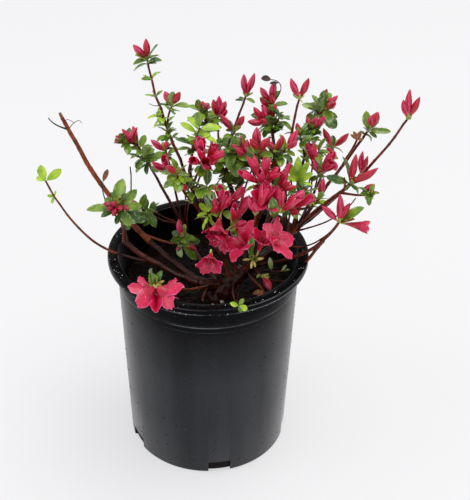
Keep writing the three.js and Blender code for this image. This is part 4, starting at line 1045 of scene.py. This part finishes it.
# Leaves placed one by one, most of them worked out as the stems were. For each stem and share of it:
# compass angle, degrees up, length, width as a share of the length, and tint.
set_leaves = {
    ("arching_stem", 1.0): [(210, 75, 15, 0.56, YOUNG), (10, 36, 16, 0.5, YOUNG), (155, 12, 10, 0.5, YOUNG)],
    ("arching_stem", 0.9): [(210, 18, 6, 0.45, YOUNG), (230, -56, 7, 0.4, YOUNG), (33, 70, 5, 0.4, YOUNG)],
    ("rosette", 0.92): [
        (190, 4, 26, 0.42, MID), (80, 78, 24, 0.46, MID), (150, 66, 14, 0.5, DARK), (10, 45, 21, 0.42, MID),
        (206, -12, 17, 0.4, DARK), (350, 66, 15, 0.42, DARK), (170, 30, 14, 0.5, MID),
        (320, -40, 18, 0.5, MID), (0, 8, 19, 0.42, MID), (290, -8, 12, 0.5, DARK),
    ],
    ("rosette", 0.8): [(350, -6, 24, 0.46, DARK), (345, -22, 17, 0.62, DARK), (255, -30, 11, 0.5, DARK)],
    ("rosette", 0.68): [(325, -50, 13, 0.4, DARK)],
    ("front_right", 1.0): [(354, 43, 24, 0.42, MID), (330, 34, 15, 0.3, DRIED)],
    ("right_low", 1.0): [
        (198, 26, 22, 0.34, DARK), (126, 77, 23, 0.36, DARK), (226, -40, 7, 0.4, MID),
        (320, -21, 8, 0.45, MID), (20, 13, 12, 0.4, DARK),
    ],
    ("right_low_side", 0.5): [(220, 72, 10, 0.5, MID)],
    ("fork_stem", 0.98): [(158, 72, 17, 0.5, MID), (354, 3, 19, 0.3, MID)],
    ("bloom_stem", 1.0): [
        (240, 58, 27, 0.36, DARK), (200, 10, 9, 0.26, BRACT), (250, -30, 8, 0.26, BRACT),
        (300, -40, 7, 0.26, BRACT), (340, 15, 9, 0.26, BRACT), (270, 50, 7, 0.3, BRACT),
        (20, 60, 8, 0.26, BRACT),
    ],
    ("bloom_buds_right", 0.85): [(252, 70, 25, 0.3, DARK)],
    ("front_stem", 1.0): [
        (200, 60, 17, 0.44, DARK), (30, 70, 11, 0.5, DARK), (240, 62, 13, 0.5, MID),
        (200, 30, 7, 0.34, BRACT), (240, 10, 7, 0.34, BRACT), (280, 30, 7, 0.34, BRACT),
        (310, 5, 7, 0.34, BRACT), (350, 25, 7, 0.34, BRACT),
    ],
    ("pot_shoot", 0.9): [(216, 35, 8, 0.5, DARK)],
    ("pot_shoot", 1.0): [(0, 13, 16, 0.5, DARK), (330, -40, 20, 0.36, MID)],
    ("left_line", 1.0): [(305, -38, 19, 0.42, DARK)],
    ("runner_rise", 1.0): [
        (345, -16, 8, 0.6, YOUNG), (28, 50, 7, 0.6, MID), (208, 32, 8, 0.5, YOUNG), (293, -40, 6, 0.5, MID),
    ],
    ("soil_right", 0.7): [(180, 82, 12, 0.34, UNDER)],
    ("soil_right", 0.95): [(23, 47, 7, 0.34, UNDER), (344, 25, 8, 0.3, DARK)],
    ("capsule_twig", 1.0): [(13, 68, 12, 0.36, DRIED)],
    ("top_curl", 0.97): [(193, 18, 9, 0.75, BLACK)],
    ("top_curl", 0.7): [(194, 3, 8, 0.4, BLACK)],
    ("fork_twin", 1.0): [
        (338, 71, 8, 0.5, DRIED), (155, 73, 8, 0.5, DRIED), (203, 48, 8, 0.4, DRIED), (19, 0, 6, 0.4, DRIED),
    ],
    ("brown_tip", 0.75): [(210, 8, 10, 0.4, DRIED), (242, -10, 9, 0.5, DRIED)],
    ("back_left_low", 1.0): [(197, -57, 13, 0.42, DARK)],
    ("tall_side", 0.95): [(195, 16, 12, 0.14, DARK)],
    ("long_pair", 1.0): [(216, 47, 8, 0.3, UNDER), (330, -24, 4, 0.4, YOUNG)],
    ("sprout_rise", 0.95): [
        (180, 66, 18, 0.36, YOUNG), (110, 81, 21, 0.36, YOUNG), (0, 68, 20, 0.36, YOUNG),
        (350, 38, 15, 0.34, YOUNG), (200, 32, 14, 0.36, YOUNG), (336, 10, 13, 0.34, YOUNG),
        (308, 66, 15, 0.36, YOUNG),
    ],
    ("sprout_rise", 0.85): [(243, -24, 10, 0.4, MID), (304, -40, 9, 0.42, DARK)],
    ("mid_cap", 0.93): [(198, 48, 10, 0.5, MID)],
    ("back_right_top", 0.85): [
        (188, 16, 16, 0.45, MID), (354, -24, 20, 0.24, MID), (350, -49, 26, 0.4, DARK),
        (307, 52, 12, 0.5, MID),
    ],
    ("back_right_fan", 1.0): [(92, 14, 24, 0.4, MID), (74, -6, 21, 0.4, DARK)],
    ("back_right_mid", 1.0): [(98, -10, 19, 0.42, DARK)],
}
# Stems whose own leaves give way to those placed one by one, and stems with leaves of another kind.
cleared_stems = (
    "arching_stem", "front_right", "front_stem", "runner", "long_pair", "far_right", "bloom_stem",
    "bloom_buds", "bloom_buds_right", "high_bloom", "right_leaf", "right_low", "low_bloom",
    "left_bloom", "sprout", "rosette",
)
narrow_limbs = ("bright_tuft", "sprout", "sprout_low", "young_low", "tall_tuft", "low_left_tuft")
young_limbs = ("arching_stem",) + narrow_limbs
# Stems in the shade of the foliage, whose leaves are mostly the dark green: partly painted shade over the
# leaves' own darker tone.
shaded_dark_limbs = (
    "bloom_stem", "top_leaves", "fork_stem", "tuft_shade", "mid_shade", "right_leaf", "sprout_shade",
)
ARCHES, CUPS, TWISTS, WIDTH_DRIFTS = (0.15, 0.75), (0.1, 0.4), (-25, 25), (0.85, 1.1)
NARROW, BROAD = 0.38, 0.5
YOUNG_IN_TUFTS, DARK_SHARE, MID_SHARE = 0.6, 0.7, 0.75
SHOWN_FACE = (0, -0.8, 0.6)  # how the leaves placed one by one lie
leaf_heap = Heap()


def add_leaf(start, ahead, length, tint, width, lie=(0, 0, 1)):
    arch, cup = chance.uniform(*ARCHES), chance.uniform(*CUPS)
    width *= chance.uniform(*WIDTH_DRIFTS)
    grid = leaf_grid(length, width, arch, cup, chance.uniform(*TWISTS))
    face_up = unit(np.array((chance.normal(0, 0.3), chance.normal(0, 0.3), 0)) + lie)
    points, faces, cells = shell(grid, LEAF_THICKNESS)
    is_green = tint < UNDER
    rib, back = (MIDRIB, UNDER) if is_green else (tint, tint)
    numbers = [rib if column == RIB_CELL else back if below else tint for _, column, below in cells]
    leaf_heap.add(points @ basis(ahead, face_up) + start, faces, numbers)


chance = np.random.default_rng(7)
for item in items:
    name = item["limb"].name
    if item["kind"] != "leaf" or name in cleared_stems:
        continue
    if name in young_limbs:
        tint = YOUNG
    elif item["tuft"]:
        tint = YOUNG if chance.random() < YOUNG_IN_TUFTS else MID
    elif name in shaded_dark_limbs:
        tint = DARK if chance.random() < DARK_SHARE else MID
    else:
        tint = MID if chance.random() < MID_SHARE else DARK
    width = NARROW if name in narrow_limbs or item["tuft"] else BROAD
    add_leaf(item["start"], item["ahead"], item["length"], tint, width)
for (name, share), rows in set_leaves.items():
    start = grown[name].point(share)
    for toward, up, length, width, tint in rows:
        add_leaf(start, compass(toward, up), length, tint, width, SHOWN_FACE)


def flesh_finish(name, tones, patch_scale, skin_scale, strength, values):
    """The finish of a living blade: patches of two tones, a fine relief 0.2 mm deep, and values."""
    finish, tree, shader, place = new_finish(name)
    patches = add_node(tree, "TexNoise", {"Vector": place, "Scale": patch_scale, "Detail": 3.0})
    share = add_node(tree, "MapRange", {"Value": patches, "From Min": 0.35, "From Max": 0.65})
    skin = add_node(tree, "TexNoise", {"Vector": place, "Scale": skin_scale, "Detail": 2.0})
    dress(tree, shader, share, tones, skin, strength, 0.2, values)
    return finish


# An azalea leaf has a waxy skin over green flesh: a soft gloss with a sharper wet layer on top,
# light scattered inside it, and small changes of green from leaf to leaf.
def leaf_finish(name, dark, light, roughness=0.36, glow=0.12):
    values = {"Roughness": roughness, "Coat Weight": 0.3, "Coat Roughness": 0.06}
    values.update({"Subsurface Weight": glow, "Subsurface Radius": (0.4, 1.0, 0.2)})
    values["Subsurface Scale"] = 0.001
    return flesh_finish(name, (dark, light), 120.0, 900.0, 0.25, values)


leaf_finishes = [
    leaf_finish("dark_evergreen_leaf", "#28480c", "#50761c"),
    leaf_finish("mid_green_leaf", "#486f10", "#85a624"),
    leaf_finish("young_yellow_green_leaf", "#86b418", "#c4e42c", 0.42, 0.2),
    leaf_finish("pale_leaf_underside", "#7c9656", "#a3b876", 0.55),
    leaf_finish("leaf_midrib", "#74962e", "#a4c050"),
    leaf_finish("dried_brown_leaf", "#5a2c14", "#a0602e", 0.6, 0.0),
    leaf_finish("black_dead_leaf", "#220b08", "#481e16", 0.7, 0.0),
    leaf_finish("pale_yellow_bract", "#b89a3c", "#e0cf7c", 0.5, 0.1),
]
leaves = leaf_heap.piece("azalea_leaves", leaf_finishes)
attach(leaves, "root")


# The flower buds: crimson spindles of five petals rolled round each other, so furrows wind up
# them, each on a short pale stalk with a tiny calyx, in a ring of brown-green bud scales.
BUD_RINGS = [
    (0, 0.34), (0.06, 0.46), (0.17, 0.7), (0.3, 0.92), (0.44, 1.0), (0.58, 0.98), (0.72, 0.82), (0.86, 0.52),
    (0.96, 0.22), (1, 0.07),
]  # shares of the length and of the radius
SEEN_BUD = 13.5  # the coloured part of a bud; the rest of its solid is stalk and scales
SEEN_STALK = 3.5
SEEN_RADIUS = 3.0
BUD_SIDES = 15
SIDES_PER_PETAL = BUD_SIDES // PETALS
BUD_TWIST = 70  # degrees that the furrows wind over the bud's length
FURROW = 0.13
FURROW_RINGS = range(2, 8)
ROSE_SHARE = 0.6
SEPAL_TILT = 24
SEPAL, BUD_SCALE = (0.5, 0.2, 0.3, 0.2), (0.62, -0.25, 0.5, 0.3)  # width, arch, cup, thickness
CRIMSON, DEEP_RED_AND_FURROW_SHADE, ROSE, STALK_GREEN, SCALE_BROWN, SCALE_GREEN = range(6)
bud_heap = Heap()


def add_blade(heap, start, ahead, face_up, length, shape, number):
    """One small plain blade: a sepal of a calyx, or a cupped bud scale that hugs the axis."""
    width, arch, cup, thick = shape
    points, faces, _ = shell(leaf_grid(length, width, arch, cup, 0), thick)
    heap.add(points @ basis(ahead, face_up) + start, faces, number)


def add_bud(start, ahead, scale, girth, skin=None):
    length, radius = SEEN_BUD * scale, SEEN_RADIUS * girth
    skin = skin or (ROSE if chance.random() < ROSE_SHARE else CRIMSON)
    stalk_curve = [start + ahead * (SEEN_STALK * s) for s in (0, 0.4, 0.8, 1.15)]
    bud_heap.add(*tube(stalk_curve, [0.75, 0.65, 0.75, 0.9], 6), STALK_GREEN)
    angles = np.arange(BUD_SIDES) * 2 * math.pi / BUD_SIDES
    spin = chance.uniform(0, 6)
    curve = chance.uniform(-0.04, 0.04, 2) * length
    rings = []
    for share, width in BUD_RINGS:
        depth = FURROW if share < 0.97 else 0
        wave = 1 - depth * (1 + np.cos(PETALS * angles)) * min(1, 1.6 * share)
        turn = angles + spin + math.radians(BUD_TWIST) * share
        ring = radius * width * wave
        offset = share * (1 - share) * 4
        xs = ring * np.cos(turn) + curve[0] * offset
        zs = ring * np.sin(turn) + curve[1] * offset
        ys = np.full(BUD_SIDES, SEEN_STALK + share * length)
        rings.append(np.stack([xs, ys, zs], axis=1))
    faces, numbers = [], []
    for k in range(len(BUD_RINGS) - 1):
        for i in range(BUD_SIDES):
            a, b = k * BUD_SIDES + i, k * BUD_SIDES + (i + 1) % BUD_SIDES
            faces.append([a, a + BUD_SIDES, b + BUD_SIDES, b])
            # The faces in each furrow take a deeper red: painted shade in the furrow.
            is_furrow = k in FURROW_RINGS and i % SIDES_PER_PETAL == SIDES_PER_PETAL - 1
            numbers.append(DEEP_RED_AND_FURROW_SHADE if is_furrow else skin)
    last = (len(BUD_RINGS) - 1) * BUD_SIDES
    faces += [list(range(BUD_SIDES)), [last + i for i in range(BUD_SIDES - 1, -1, -1)]]
    numbers += [STALK_GREEN, skin]
    bud_heap.add(np.concatenate(rings) @ basis(ahead) + start, faces, numbers)
    foot = start + ahead * (SEEN_STALK - 0.4)
    for k in range(PETALS):
        out = lean(ahead, PETAL_TURN * k + math.degrees(spin), SEPAL_TILT)
        add_blade(bud_heap, foot, out, ahead, 2.6 * scale, SEPAL, STALK_GREEN)


# The share of a stem's own buds that have begun to open. One that hangs too low stays shut.
LOWEST_LOOK = 0.25
half_open = dict(
    pink_left=0.7, left_bloom=0.8, high_bloom=0.8, right_pair=0.35, low_bloom=0.5, twin_pink=0.7,
    pink_heart=0.8, pink_right=0.8, high_heart=0.8, high_side=0.7, deep_right=0.4, left_heart=0.8,
    left_side=0.8, bloom_buds=0.4, bloom_buds_right=0.4, soil_bud=1.0,
)
# Buds placed one by one, in the same way. For each stem and share of it: compass angle, degrees up,
# length and thickness.
set_buds = {
    ("tall_shoot", 0.99): [(180, 50, 13, 6), (120, 86, 14, 6)],
    ("tall_side", 0.93): [(170, 65, 10, 6), (350, 63, 11, 6)],
    ("back_left", 1.0): [(186, 26, 17, 6), (180, 50, 16, 6), (150, 77, 14, 5.5)],
    ("back_left_side", 1.0): [(355, 53, 15, 5.5), (200, 17, 6, 5)],
    ("back_left_twin", 0.97): [(180, 43, 14, 6), (55, 83, 7, 5.5)],
    ("mid_left", 1.0): [(180, 78, 12, 6)],
    ("mid_cap", 0.97): [(180, 78, 14, 6.5), (65, 83, 16, 6.5), (352, 67, 14, 6.5), (340, 48, 9, 5.5)],
    ("mid_pair", 0.93): [(190, 55, 17.5, 6)],
    ("mid_pair", 1.0): [(8, 62, 11.5, 6)],
    ("mid_long", 1.0): [(150, 84, 16.5, 6), (352, 72, 19.5, 6)],
    ("top_tip", 1.0): [(186, 58, 14, 6), (21, 82, 16, 6.5)],
    ("top_tip", 0.78): [(190, 44, 11, 6), (260, 77, 10, 6)],
    ("top_bough", 0.98): [(188, 33, 12.5, 6), (188, 66, 14, 6), (347, 74, 13, 6)],
    ("long_pair", 1.0): [(180, 68, 16, 6), (0, 70, 16, 6)],
    ("back_right_top", 0.87): [(10, 73, 14.5, 6.5), (355, 41, 11.5, 5.5)],
    ("back_right_mid", 0.8): [(180, 72, 7, 6), (355, 47, 13.5, 6), (323, 68, 10, 5.5)],
    ("right_pair", 0.97): [(180, 64, 18, 6), (0, 50, 16, 6)],
    ("hanging_bud", 0.97): [(318, -68, 8.5, 6), (215, 60, 10.5, 5.5)],
    ("fork_stem", 1.0): [(0, 71, 13, 8), (280, 82, 10, 6.5)],
    ("right_low", 1.0): [(338, 84, 23.5, 6.5), (352, 38, 22.5, 6.5)],
    ("right_low_side", 0.55): [(348, 49, 11.5, 5.5)],
    ("far_right", 0.5): [(0, 89, 19, 5), (336, 76, 16.5, 5)],
    ("far_right", 1.0): [(180, 74, 14, 6), (180, 89, 22.5, 6), (0, 68, 17.5, 6)],
    ("front_right", 1.0): [(180, 46, 17, 6), (180, 88, 22.5, 6.5), (352, 68, 16.5, 6)],
    ("pot_bud", 0.75): [(180, 82, 15, 6)],
    ("pot_shoot", 0.98): [(250, -23, 4, 4), (336, -5, 11, 5)],
    ("centre_bough", 0.98): [(180, 88, 18.5, 8), (206, 32, 7, 6)],
    ("near_pair", 0.96): [(180, 64, 10.5, 6), (0, 70, 14.5, 6)],
    ("slim_bud", 0.85): [(148, 72, 9, 5)],
    ("olive_bud", 0.87): [(0, 52, 6.5, 5.5)],
    ("rosette", 0.97): [
        (200, 20, 9, 5.5), (225, 5, 8, 5), (255, -10, 9, 5.5), (290, 15, 8, 5), (240, 40, 7, 5),
        (330, 0, 7, 4.5),
    ],
}
with_set_buds = {name for name, _ in set_buds}
opening_buds = []
chance = np.random.default_rng(11)
for item in items:
    name, scale = item["limb"].name, item.get("scale")
    if item["kind"] != "bud" or name in with_set_buds:
        continue
    if chance.random() < half_open.get(name, 0) and item["ahead"][2] > LOWEST_LOOK:
        opening_buds.append(item)
    else:
        add_bud(item["start"], item["ahead"], scale, scale)
for (name, share), rows in set_buds.items():
    start = grown[name].point(share)
    for toward, up, length, thick in rows:
        girth = thick / (2 * SEEN_RADIUS)
        skin = DEEP_RED_AND_FURROW_SHADE if name == "rosette" else None
        add_bud(start, compass(toward, up), length / SEEN_BUD, girth, skin)

# The bud scales stand in a loose ring, or close and long where a bud is still wrapped. Each ring:
# how many, how far they lean, how long they are, and the share of them that has another colour.
SCALE_TURN, SEED_TURN = 51, 13
LOOSE_RING = (9, (14, 48), (4.0, 7.5), 0.5, STALK_GREEN)
WRAPPED_RING = (11, (8, 26), (7, 10), 0.45, SCALE_BROWN)
wrapped = ("mid_cap", "back_left", "back_left_side", "olive_bud", "back_right_fan", "fork_stem")
for limb in foliated:
    if not (limb.get("buds") or limb.get("blooms")):
        continue
    tip, ahead = limb.point(1), limb.ahead(1)
    count, tilts, lengths, part, other = WRAPPED_RING if limb.name in wrapped else LOOSE_RING
    for k in range(count):
        out = lean(ahead, SCALE_TURN * k + SEED_TURN * limb.seed, chance.uniform(*tilts))
        number = other if chance.random() < part else SCALE_GREEN
        length = chance.uniform(*lengths)
        add_blade(bud_heap, tip - ahead * 0.6, out, ahead, length, BUD_SCALE, number)


# Petal flesh has a satin skin, and light that enters it comes out again nearby, so it glows.
def petal_finish(name, dark, light, roughness=0.42, glow=0.25):
    values = {"Roughness": roughness, "Coat Weight": 0.2, "Coat Roughness": 0.2}
    values.update({"Subsurface Weight": glow, "Subsurface Radius": (1.0, 0.25, 0.35)})
    values["Subsurface Scale"] = 0.0015
    return flesh_finish(name, (dark, light), 240.0, 1100.0, 0.3, values)


crimson = petal_finish("crimson_bud_petal", "#b00a26", "#d42444")
# The deep red is painted shade in the furrows, and the own colour of the rosette's buds.
deep_red_furrow_shade = petal_finish("furrow_deep_red", "#8c0a24", "#b01638")
rose = petal_finish("rose_petal", "#cc184c", "#e2406e")
stalk_green = leaf_finish("pale_flower_stalk", "#97a04a", "#c8c46c", 0.45)
scale_brown = leaf_finish("brown_bud_scale", "#6b4a28", "#9b7a3e", 0.5, 0.05)
scale_green = leaf_finish("olive_bud_scale", "#7d8a3a", "#b0b454", 0.45, 0.1)
bud_finishes = [crimson, deep_red_furrow_shade, rose, stalk_green, scale_brown, scale_green]
buds = bud_heap.piece("azalea_buds", bud_finishes)
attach(buds, "root")


# The blossoms: five broad wavy petals joined in a short trumpet, deep red in the throat and paler
# to the rim, with slender stamens and one long pistil. Some are only half open.
LOBE_OUTLINE = [
    (0, 0.5), (0.16, 0.74), (0.34, 0.95), (0.52, 1.0), (0.7, 0.88), (0.85, 0.6), (0.95, 0.28), (1, 0.05),
]  # shares of the length and of the half width
TUBE_ROWS = [(0, 0.9), (3.0, 1.5), (6.0, 2.2), (8.8, 3.0)]  # height and radius at scale 1
PETAL_COLUMNS = [-1, -0.8, -0.45, -0.37, -0.05, 0.05, 0.37, 0.45, 0.8, 1]
LOBE_LENGTH = 17.0
LOBE_HALF = 6.6
RUFFLE = 0.9
MIDRIB_CREASE = 0.35
OPEN_FROM = 30  # petals that lean further than this are ruffled and show the stamens
TUBE_FLARE = 14
OPEN_TIPS, CLOSED_TIPS = 16, -22  # how far the tips of petals bend out or in
THROAT_END, VEIN_END, EDGE_FROM = 5, 9, 9  # rows of a petal where its colours change
VEIN_CELLS, EDGE_CELLS = (2, 4, 6), (0, 8)
STAMENS, STAMEN_REACH, PISTIL_REACH = 5, 17, 21
THROAT, BODY, VEIN, RIM, CALYX, ANTHER, FILAMENT = range(7)
bloom_heap = Heap()


def petal_rows(tilt, own_tilt, scale, length, breadth, deep, tuck):
    """Height, distance from the axis and half width of a petal along its tube and its lobe."""
    rows = [(h * scale * deep, r * scale, r * scale * math.pi / PETALS) for h, r in TUBE_ROWS]
    height, radius, _ = rows[-1]
    walked = 0
    for share, spread in LOBE_OUTLINE[1:]:
        step = (share - walked) * length
        opened = TUBE_FLARE + (own_tilt - TUBE_FLARE) * min(1, (walked + share) / 0.7)
        opened += (OPEN_TIPS if tilt > OPEN_FROM else CLOSED_TIPS) * max(0, share - 0.75) * 4
        radius += step * math.sin(math.radians(opened))
        height += step * math.cos(math.radians(opened))
        walked = share
        rows.append((height, radius - tuck, spread * LOBE_HALF * scale * breadth))
    return rows


def add_bloom(tip, start, ahead, turn, scale, tilt, lobe, breadth, deep=1.0, uneven=0.13):
    """A corolla on a stalk that runs from the tip of its stem to start. tilt is how far its petals
    have opened from the axis, in degrees. lobe and breadth are the size of a petal and deep that of
    the throat, as shares of a full one. With no unevenness it is an opening bud, bent by chance."""
    ends = [tip - ahead * 0.4, (tip + start) / 2, start + ahead * 0.5, start + ahead * SEEN_STALK * 1.1]
    bloom_heap.add(*tube(ends, [0.75, 0.65, 0.75, 1.0], 6), CALYX)
    foot = start + ahead * SEEN_STALK
    is_open = tilt > OPEN_FROM
    for k in range(PETALS):
        across = lean(ahead, turn + PETAL_TURN * k, 90)
        beside = np.cross(ahead, across)
        own_tilt = tilt * (1 + uneven * chance.uniform(-1, 1))
        own_tilt += 0 if uneven else chance.uniform(-9, 12)
        phase = chance.uniform(0, 6)
        length = LOBE_LENGTH * scale * lobe * (1 if uneven else chance.uniform(0.75, 1.15))
        rows = petal_rows(tilt, own_tilt, scale, length, breadth, deep, 0.25 * scale * (k % 2))
        grid = np.zeros((len(rows), len(PETAL_COLUMNS), 3))
        for r, (high, out, half) in enumerate(rows):
            in_lobe = max(0, r - len(TUBE_ROWS) + 1) / len(LOBE_OUTLINE)
            wave = (2 if is_open else 1) * RUFFLE * scale * in_lobe
            curl = max(out, 2.0)
            for c, column in enumerate(PETAL_COLUMNS):
                angle = column * half / curl
                ruffle = wave * column**2 * math.sin(2.6 * r + phase + 2 * column)
                crease = MIDRIB_CREASE * scale * in_lobe * (abs(column) < 0.1)
                point = across * (out * math.cos(angle)) + beside * (curl * math.sin(angle))
                grid[r, c] = foot + point + ahead * (high + ruffle - crease)
        points, faces, cells = shell(grid, 0.25)
        numbers = []
        for row, column, _ in cells:
            is_vein = column in VEIN_CELLS and row < VEIN_END
            is_edge = row >= EDGE_FROM or column in EDGE_CELLS
            numbers.append(THROAT if row < THROAT_END else VEIN if is_vein else RIM if is_edge else BODY)
        bloom_heap.add(points, faces, numbers)
        out = lean(ahead, turn + PETAL_TURN * (k + 0.5), SEPAL_TILT)
        add_blade(bloom_heap, foot - ahead * 0.4, out, ahead, 3.2 * scale, SEPAL, CALYX)
    if not is_open:
        return
    for k in range(STAMENS + 1):
        out = lean(ahead, turn + 360 / (STAMENS + 1) * k + 10, chance.uniform(6, 15))
        reach = (STAMEN_REACH if k < STAMENS else PISTIL_REACH) * scale * chance.uniform(0.85, 1.05)
        droop = np.array((0, 0, -1.5 * scale))
        walk = [foot + out * reach * s + droop * s * (1 - s) * 2 for s in (0.2, 0.45, 0.7, 0.9, 1)]
        bloom_heap.add(*tube(walk, [0.22] * 5, 5), FILAMENT)
        head = [walk[-1] + out * d for d in (-0.3, 0, 0.6, 1.2, 1.4)]
        bloom_heap.add(*tube(head, [0.2, 0.4, 0.45, 0.4, 0.15], 6), ANTHER)


# Open flowers: the stem, how far the flower stands from its tip, compass angle, degrees up, turn
# of its petals, scale, opening, the length and breadth of a petal and the depth of its throat.
open_blooms = [
    ("front_stem", (2, -5, 3), 168, -46, 0, 0.92, 54, 1.15, 1.2, 0.3),
    ("front_stem", (-2, -6, 3), 10, -44, 180, 0.92, 54, 1.15, 1.2, 0.3),
    ("high_bloom", (0, -1, 1), 275, 40, 17, 0.9, 46, 1.0, 0.9, 1.0),
    ("front_right", (2, -1, 0), 352, -4, 12, 0.9, 19, 0.72, 0.85, 1.0),
    ("bloom_stem", (0, 14, 1), 207, 44, 17, 1.04, 70, 1.1, 1.15, 0.6),
    ("bloom_stem", (7, 4, 10), 338, 38, 40, 1.04, 66, 1.1, 1.15, 0.6),
    ("low_bloom", (-2, 0, 12), 266, -18, 26, 0.8, 44, 1.0, 1.35, 0.5),
    ("left_heart", (-1, -2, -2), 258, -34, 20, 0.85, 38, 1.0, 1.15, 0.7),
    ("left_side", (-2, -2, 0), 232, -26, 0, 0.85, 46, 1.0, 1.2, 0.6),
    ("bloom_stem", (3, -1, 5), 326, 74, 10, 0.8, 40, 1.0, 1.0, 1.0),
]
chance = np.random.default_rng(23)
for name, aside, toward, up, *shape in open_blooms:
    tip = grown[name].point(1)
    add_bloom(tip, tip + aside, compass(toward, up), *shape)
OPENING_SIZES, OPENING_TILTS = (0.75, 0.95), (-8, 6)
OPENING_LOBE, OPENING_BREADTH = 0.9, 0.56
for item in opening_buds:
    scale = item["scale"] * chance.uniform(*OPENING_SIZES)
    tilt = chance.uniform(*OPENING_TILTS)
    turn, tip = 360 * chance.random(), item["start"]
    shape = turn, scale, tilt, OPENING_LOBE, OPENING_BREADTH
    add_bloom(tip, tip, item["ahead"], *shape, uneven=0)

bloom_finishes = [
    petal_finish("petal_throat", "#b00628", "#cc1040"),
    petal_finish("petal_body", "#cf0a42", "#e0285c"),
    petal_finish("petal_vein", "#bb0c3c", "#cc2050"),
    petal_finish("petal_rim", "#dc3068", "#ee5f8e"),
    stalk_green,
    petal_finish("dark_anther", "#70202c", "#a04050", 0.6, 0.0),
    petal_finish("pink_filament", "#e8557e", "#f58aa6"),
]
blossoms = bloom_heap.piece("azalea_blossoms", bloom_finishes)
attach(blossoms, "root")


# Water drops: it has just been watered, so small domes of water stand on the rim, on the petals and
# on the leaves, painted pale white as glints. Every other drop on the rim hangs on its outer edge.
RIM_DROPS = 110
PETAL_DROPS = 420
LEAF_DROPS = 220
DROP_HEIGHT = 0.8  # as a share of its half width
RIM_DROP_SIZES, PLANT_DROP_SIZES = (0.15, 0.4), (0.25, 0.5)
chance = np.random.default_rng(61)
rim_heap, drop_heap = Heap(), Heap()
for k in range(RIM_DROPS):
    turn = chance.uniform(0, 2 * math.pi)
    size = chance.uniform(*RIM_DROP_SIZES)
    out, high = RIM_RADIUS, POT_HEIGHT - RIM_DROP + chance.uniform(0, 1.5)
    if k % 2:
        out, high = chance.uniform(TOP_RADIUS + 1, RIM_RADIUS - 1), POT_HEIGHT
    shape = crumb_points * (size * 1.3, size, size * DROP_HEIGHT)
    rim_heap.add(shape + on_ring(out, turn, high), crumb_faces)
for heap, count in ((bloom_heap, PETAL_DROPS), (leaf_heap, LEAF_DROPS)):
    corners = np.concatenate(heap.points)
    for index in chance.integers(0, len(heap.faces), count):
        middle = corners[heap.faces[index]].mean(axis=0)
        size = chance.uniform(*PLANT_DROP_SIZES)
        shape = crumb_points * (size, size, size * DROP_HEIGHT)
        drop_heap.add(shape + middle + (0, 0, 0.2), crumb_faces)
# Water takes the leaf's wet layer over a pale white body: painted glints, smooth enough to glint too.
painted_glint_water = leaf_finish("water_drop", "#dcdcde", "#f6f6f8", 0.05, 0.0)
for name, heap, slot in (("rim_drops", rim_heap, "pot"), ("plant_drops", drop_heap, "blossom")):
    drops = heap.piece(name, [painted_glint_water])
    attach(drops, "root")


# The stage: a plain pale floor under soft studio light from overhead and from the left, and the
# camera where the photograph was taken from.
STAGE_SIZE = 12  # metres
CAMERA_AIM = (21.9, 0, 186.2)
CAMERA_DISTANCE = 903
CAMERA_ELEVATION = 34.2
CAMERA_ROLL = 1.04
CAMERA_LENS = 79.2
bpy.ops.object.select_all(action="DESELECT")
bpy.ops.mesh.primitive_plane_add(size=STAGE_SIZE, location=(0, 0, 0))
floor = bpy.context.object
floor.name = "studio_floor"
# Matt paper that glows faintly by itself, so that it comes out as bright as in the photograph.
paper, tree, shader, place = new_finish("pale_studio_paper")
set_sockets(tree, shader, {
    "Base Color": srgb("#9c9c9c"),
    "Emission Color": srgb("#f2f2f4"),
    "Emission Strength": 0.64,
    "Roughness": 0.9,
    "Specular IOR Level": 0.1,
})
floor.data.materials.append(paper)

world = bpy.data.worlds.new("studio")
world.use_nodes = True
sky = {"Color": srgb("#f8f8fb"), "Strength": 0.76}
set_sockets(world.node_tree, world.node_tree.nodes["Background"], sky)
bpy.context.scene.world = world
bpy.context.scene.view_settings.view_transform = "Standard"


def add_light(name, place_at, aim, size, power, colour):
    data = bpy.data.lights.new(name, "AREA")
    data.shape = "DISK"
    data.size = size
    data.energy = power
    data.color = srgb(colour)[:3]
    light = bpy.data.objects.new(name, data)
    bpy.context.collection.objects.link(light)
    light.location = place_at
    look = Vector(aim) - light.location
    light.rotation_mode = "QUATERNION"
    light.rotation_quaternion = look.to_track_quat("-Z", "Y")


add_light("overhead_softbox", (0.6, 0.1, 2.2), (0, 0, 0.15), 1.4, 20, "#fffdf8")
add_light("left_softbox", (-1.9, -0.4, 0.9), (0, 0, 0.12), 1.2, 8, "#f4f7ff")

camera_data = bpy.data.cameras.new("photo_camera")
camera_data.lens = CAMERA_LENS
camera_data.sensor_width = 36
camera = bpy.data.objects.new("photo_camera", camera_data)
bpy.context.collection.objects.link(camera)
slope = math.radians(CAMERA_ELEVATION)
away = Vector((0, -math.cos(slope), math.sin(slope)))
camera.location = (Vector(CAMERA_AIM) + away * CAMERA_DISTANCE) * MM
camera.rotation_mode = "QUATERNION"
level_look = (-away).to_track_quat("-Z", "Y")
camera.rotation_quaternion = level_look @ Quaternion((0, 0, 1), math.radians(CAMERA_ROLL))
bpy.context.scene.camera = camera
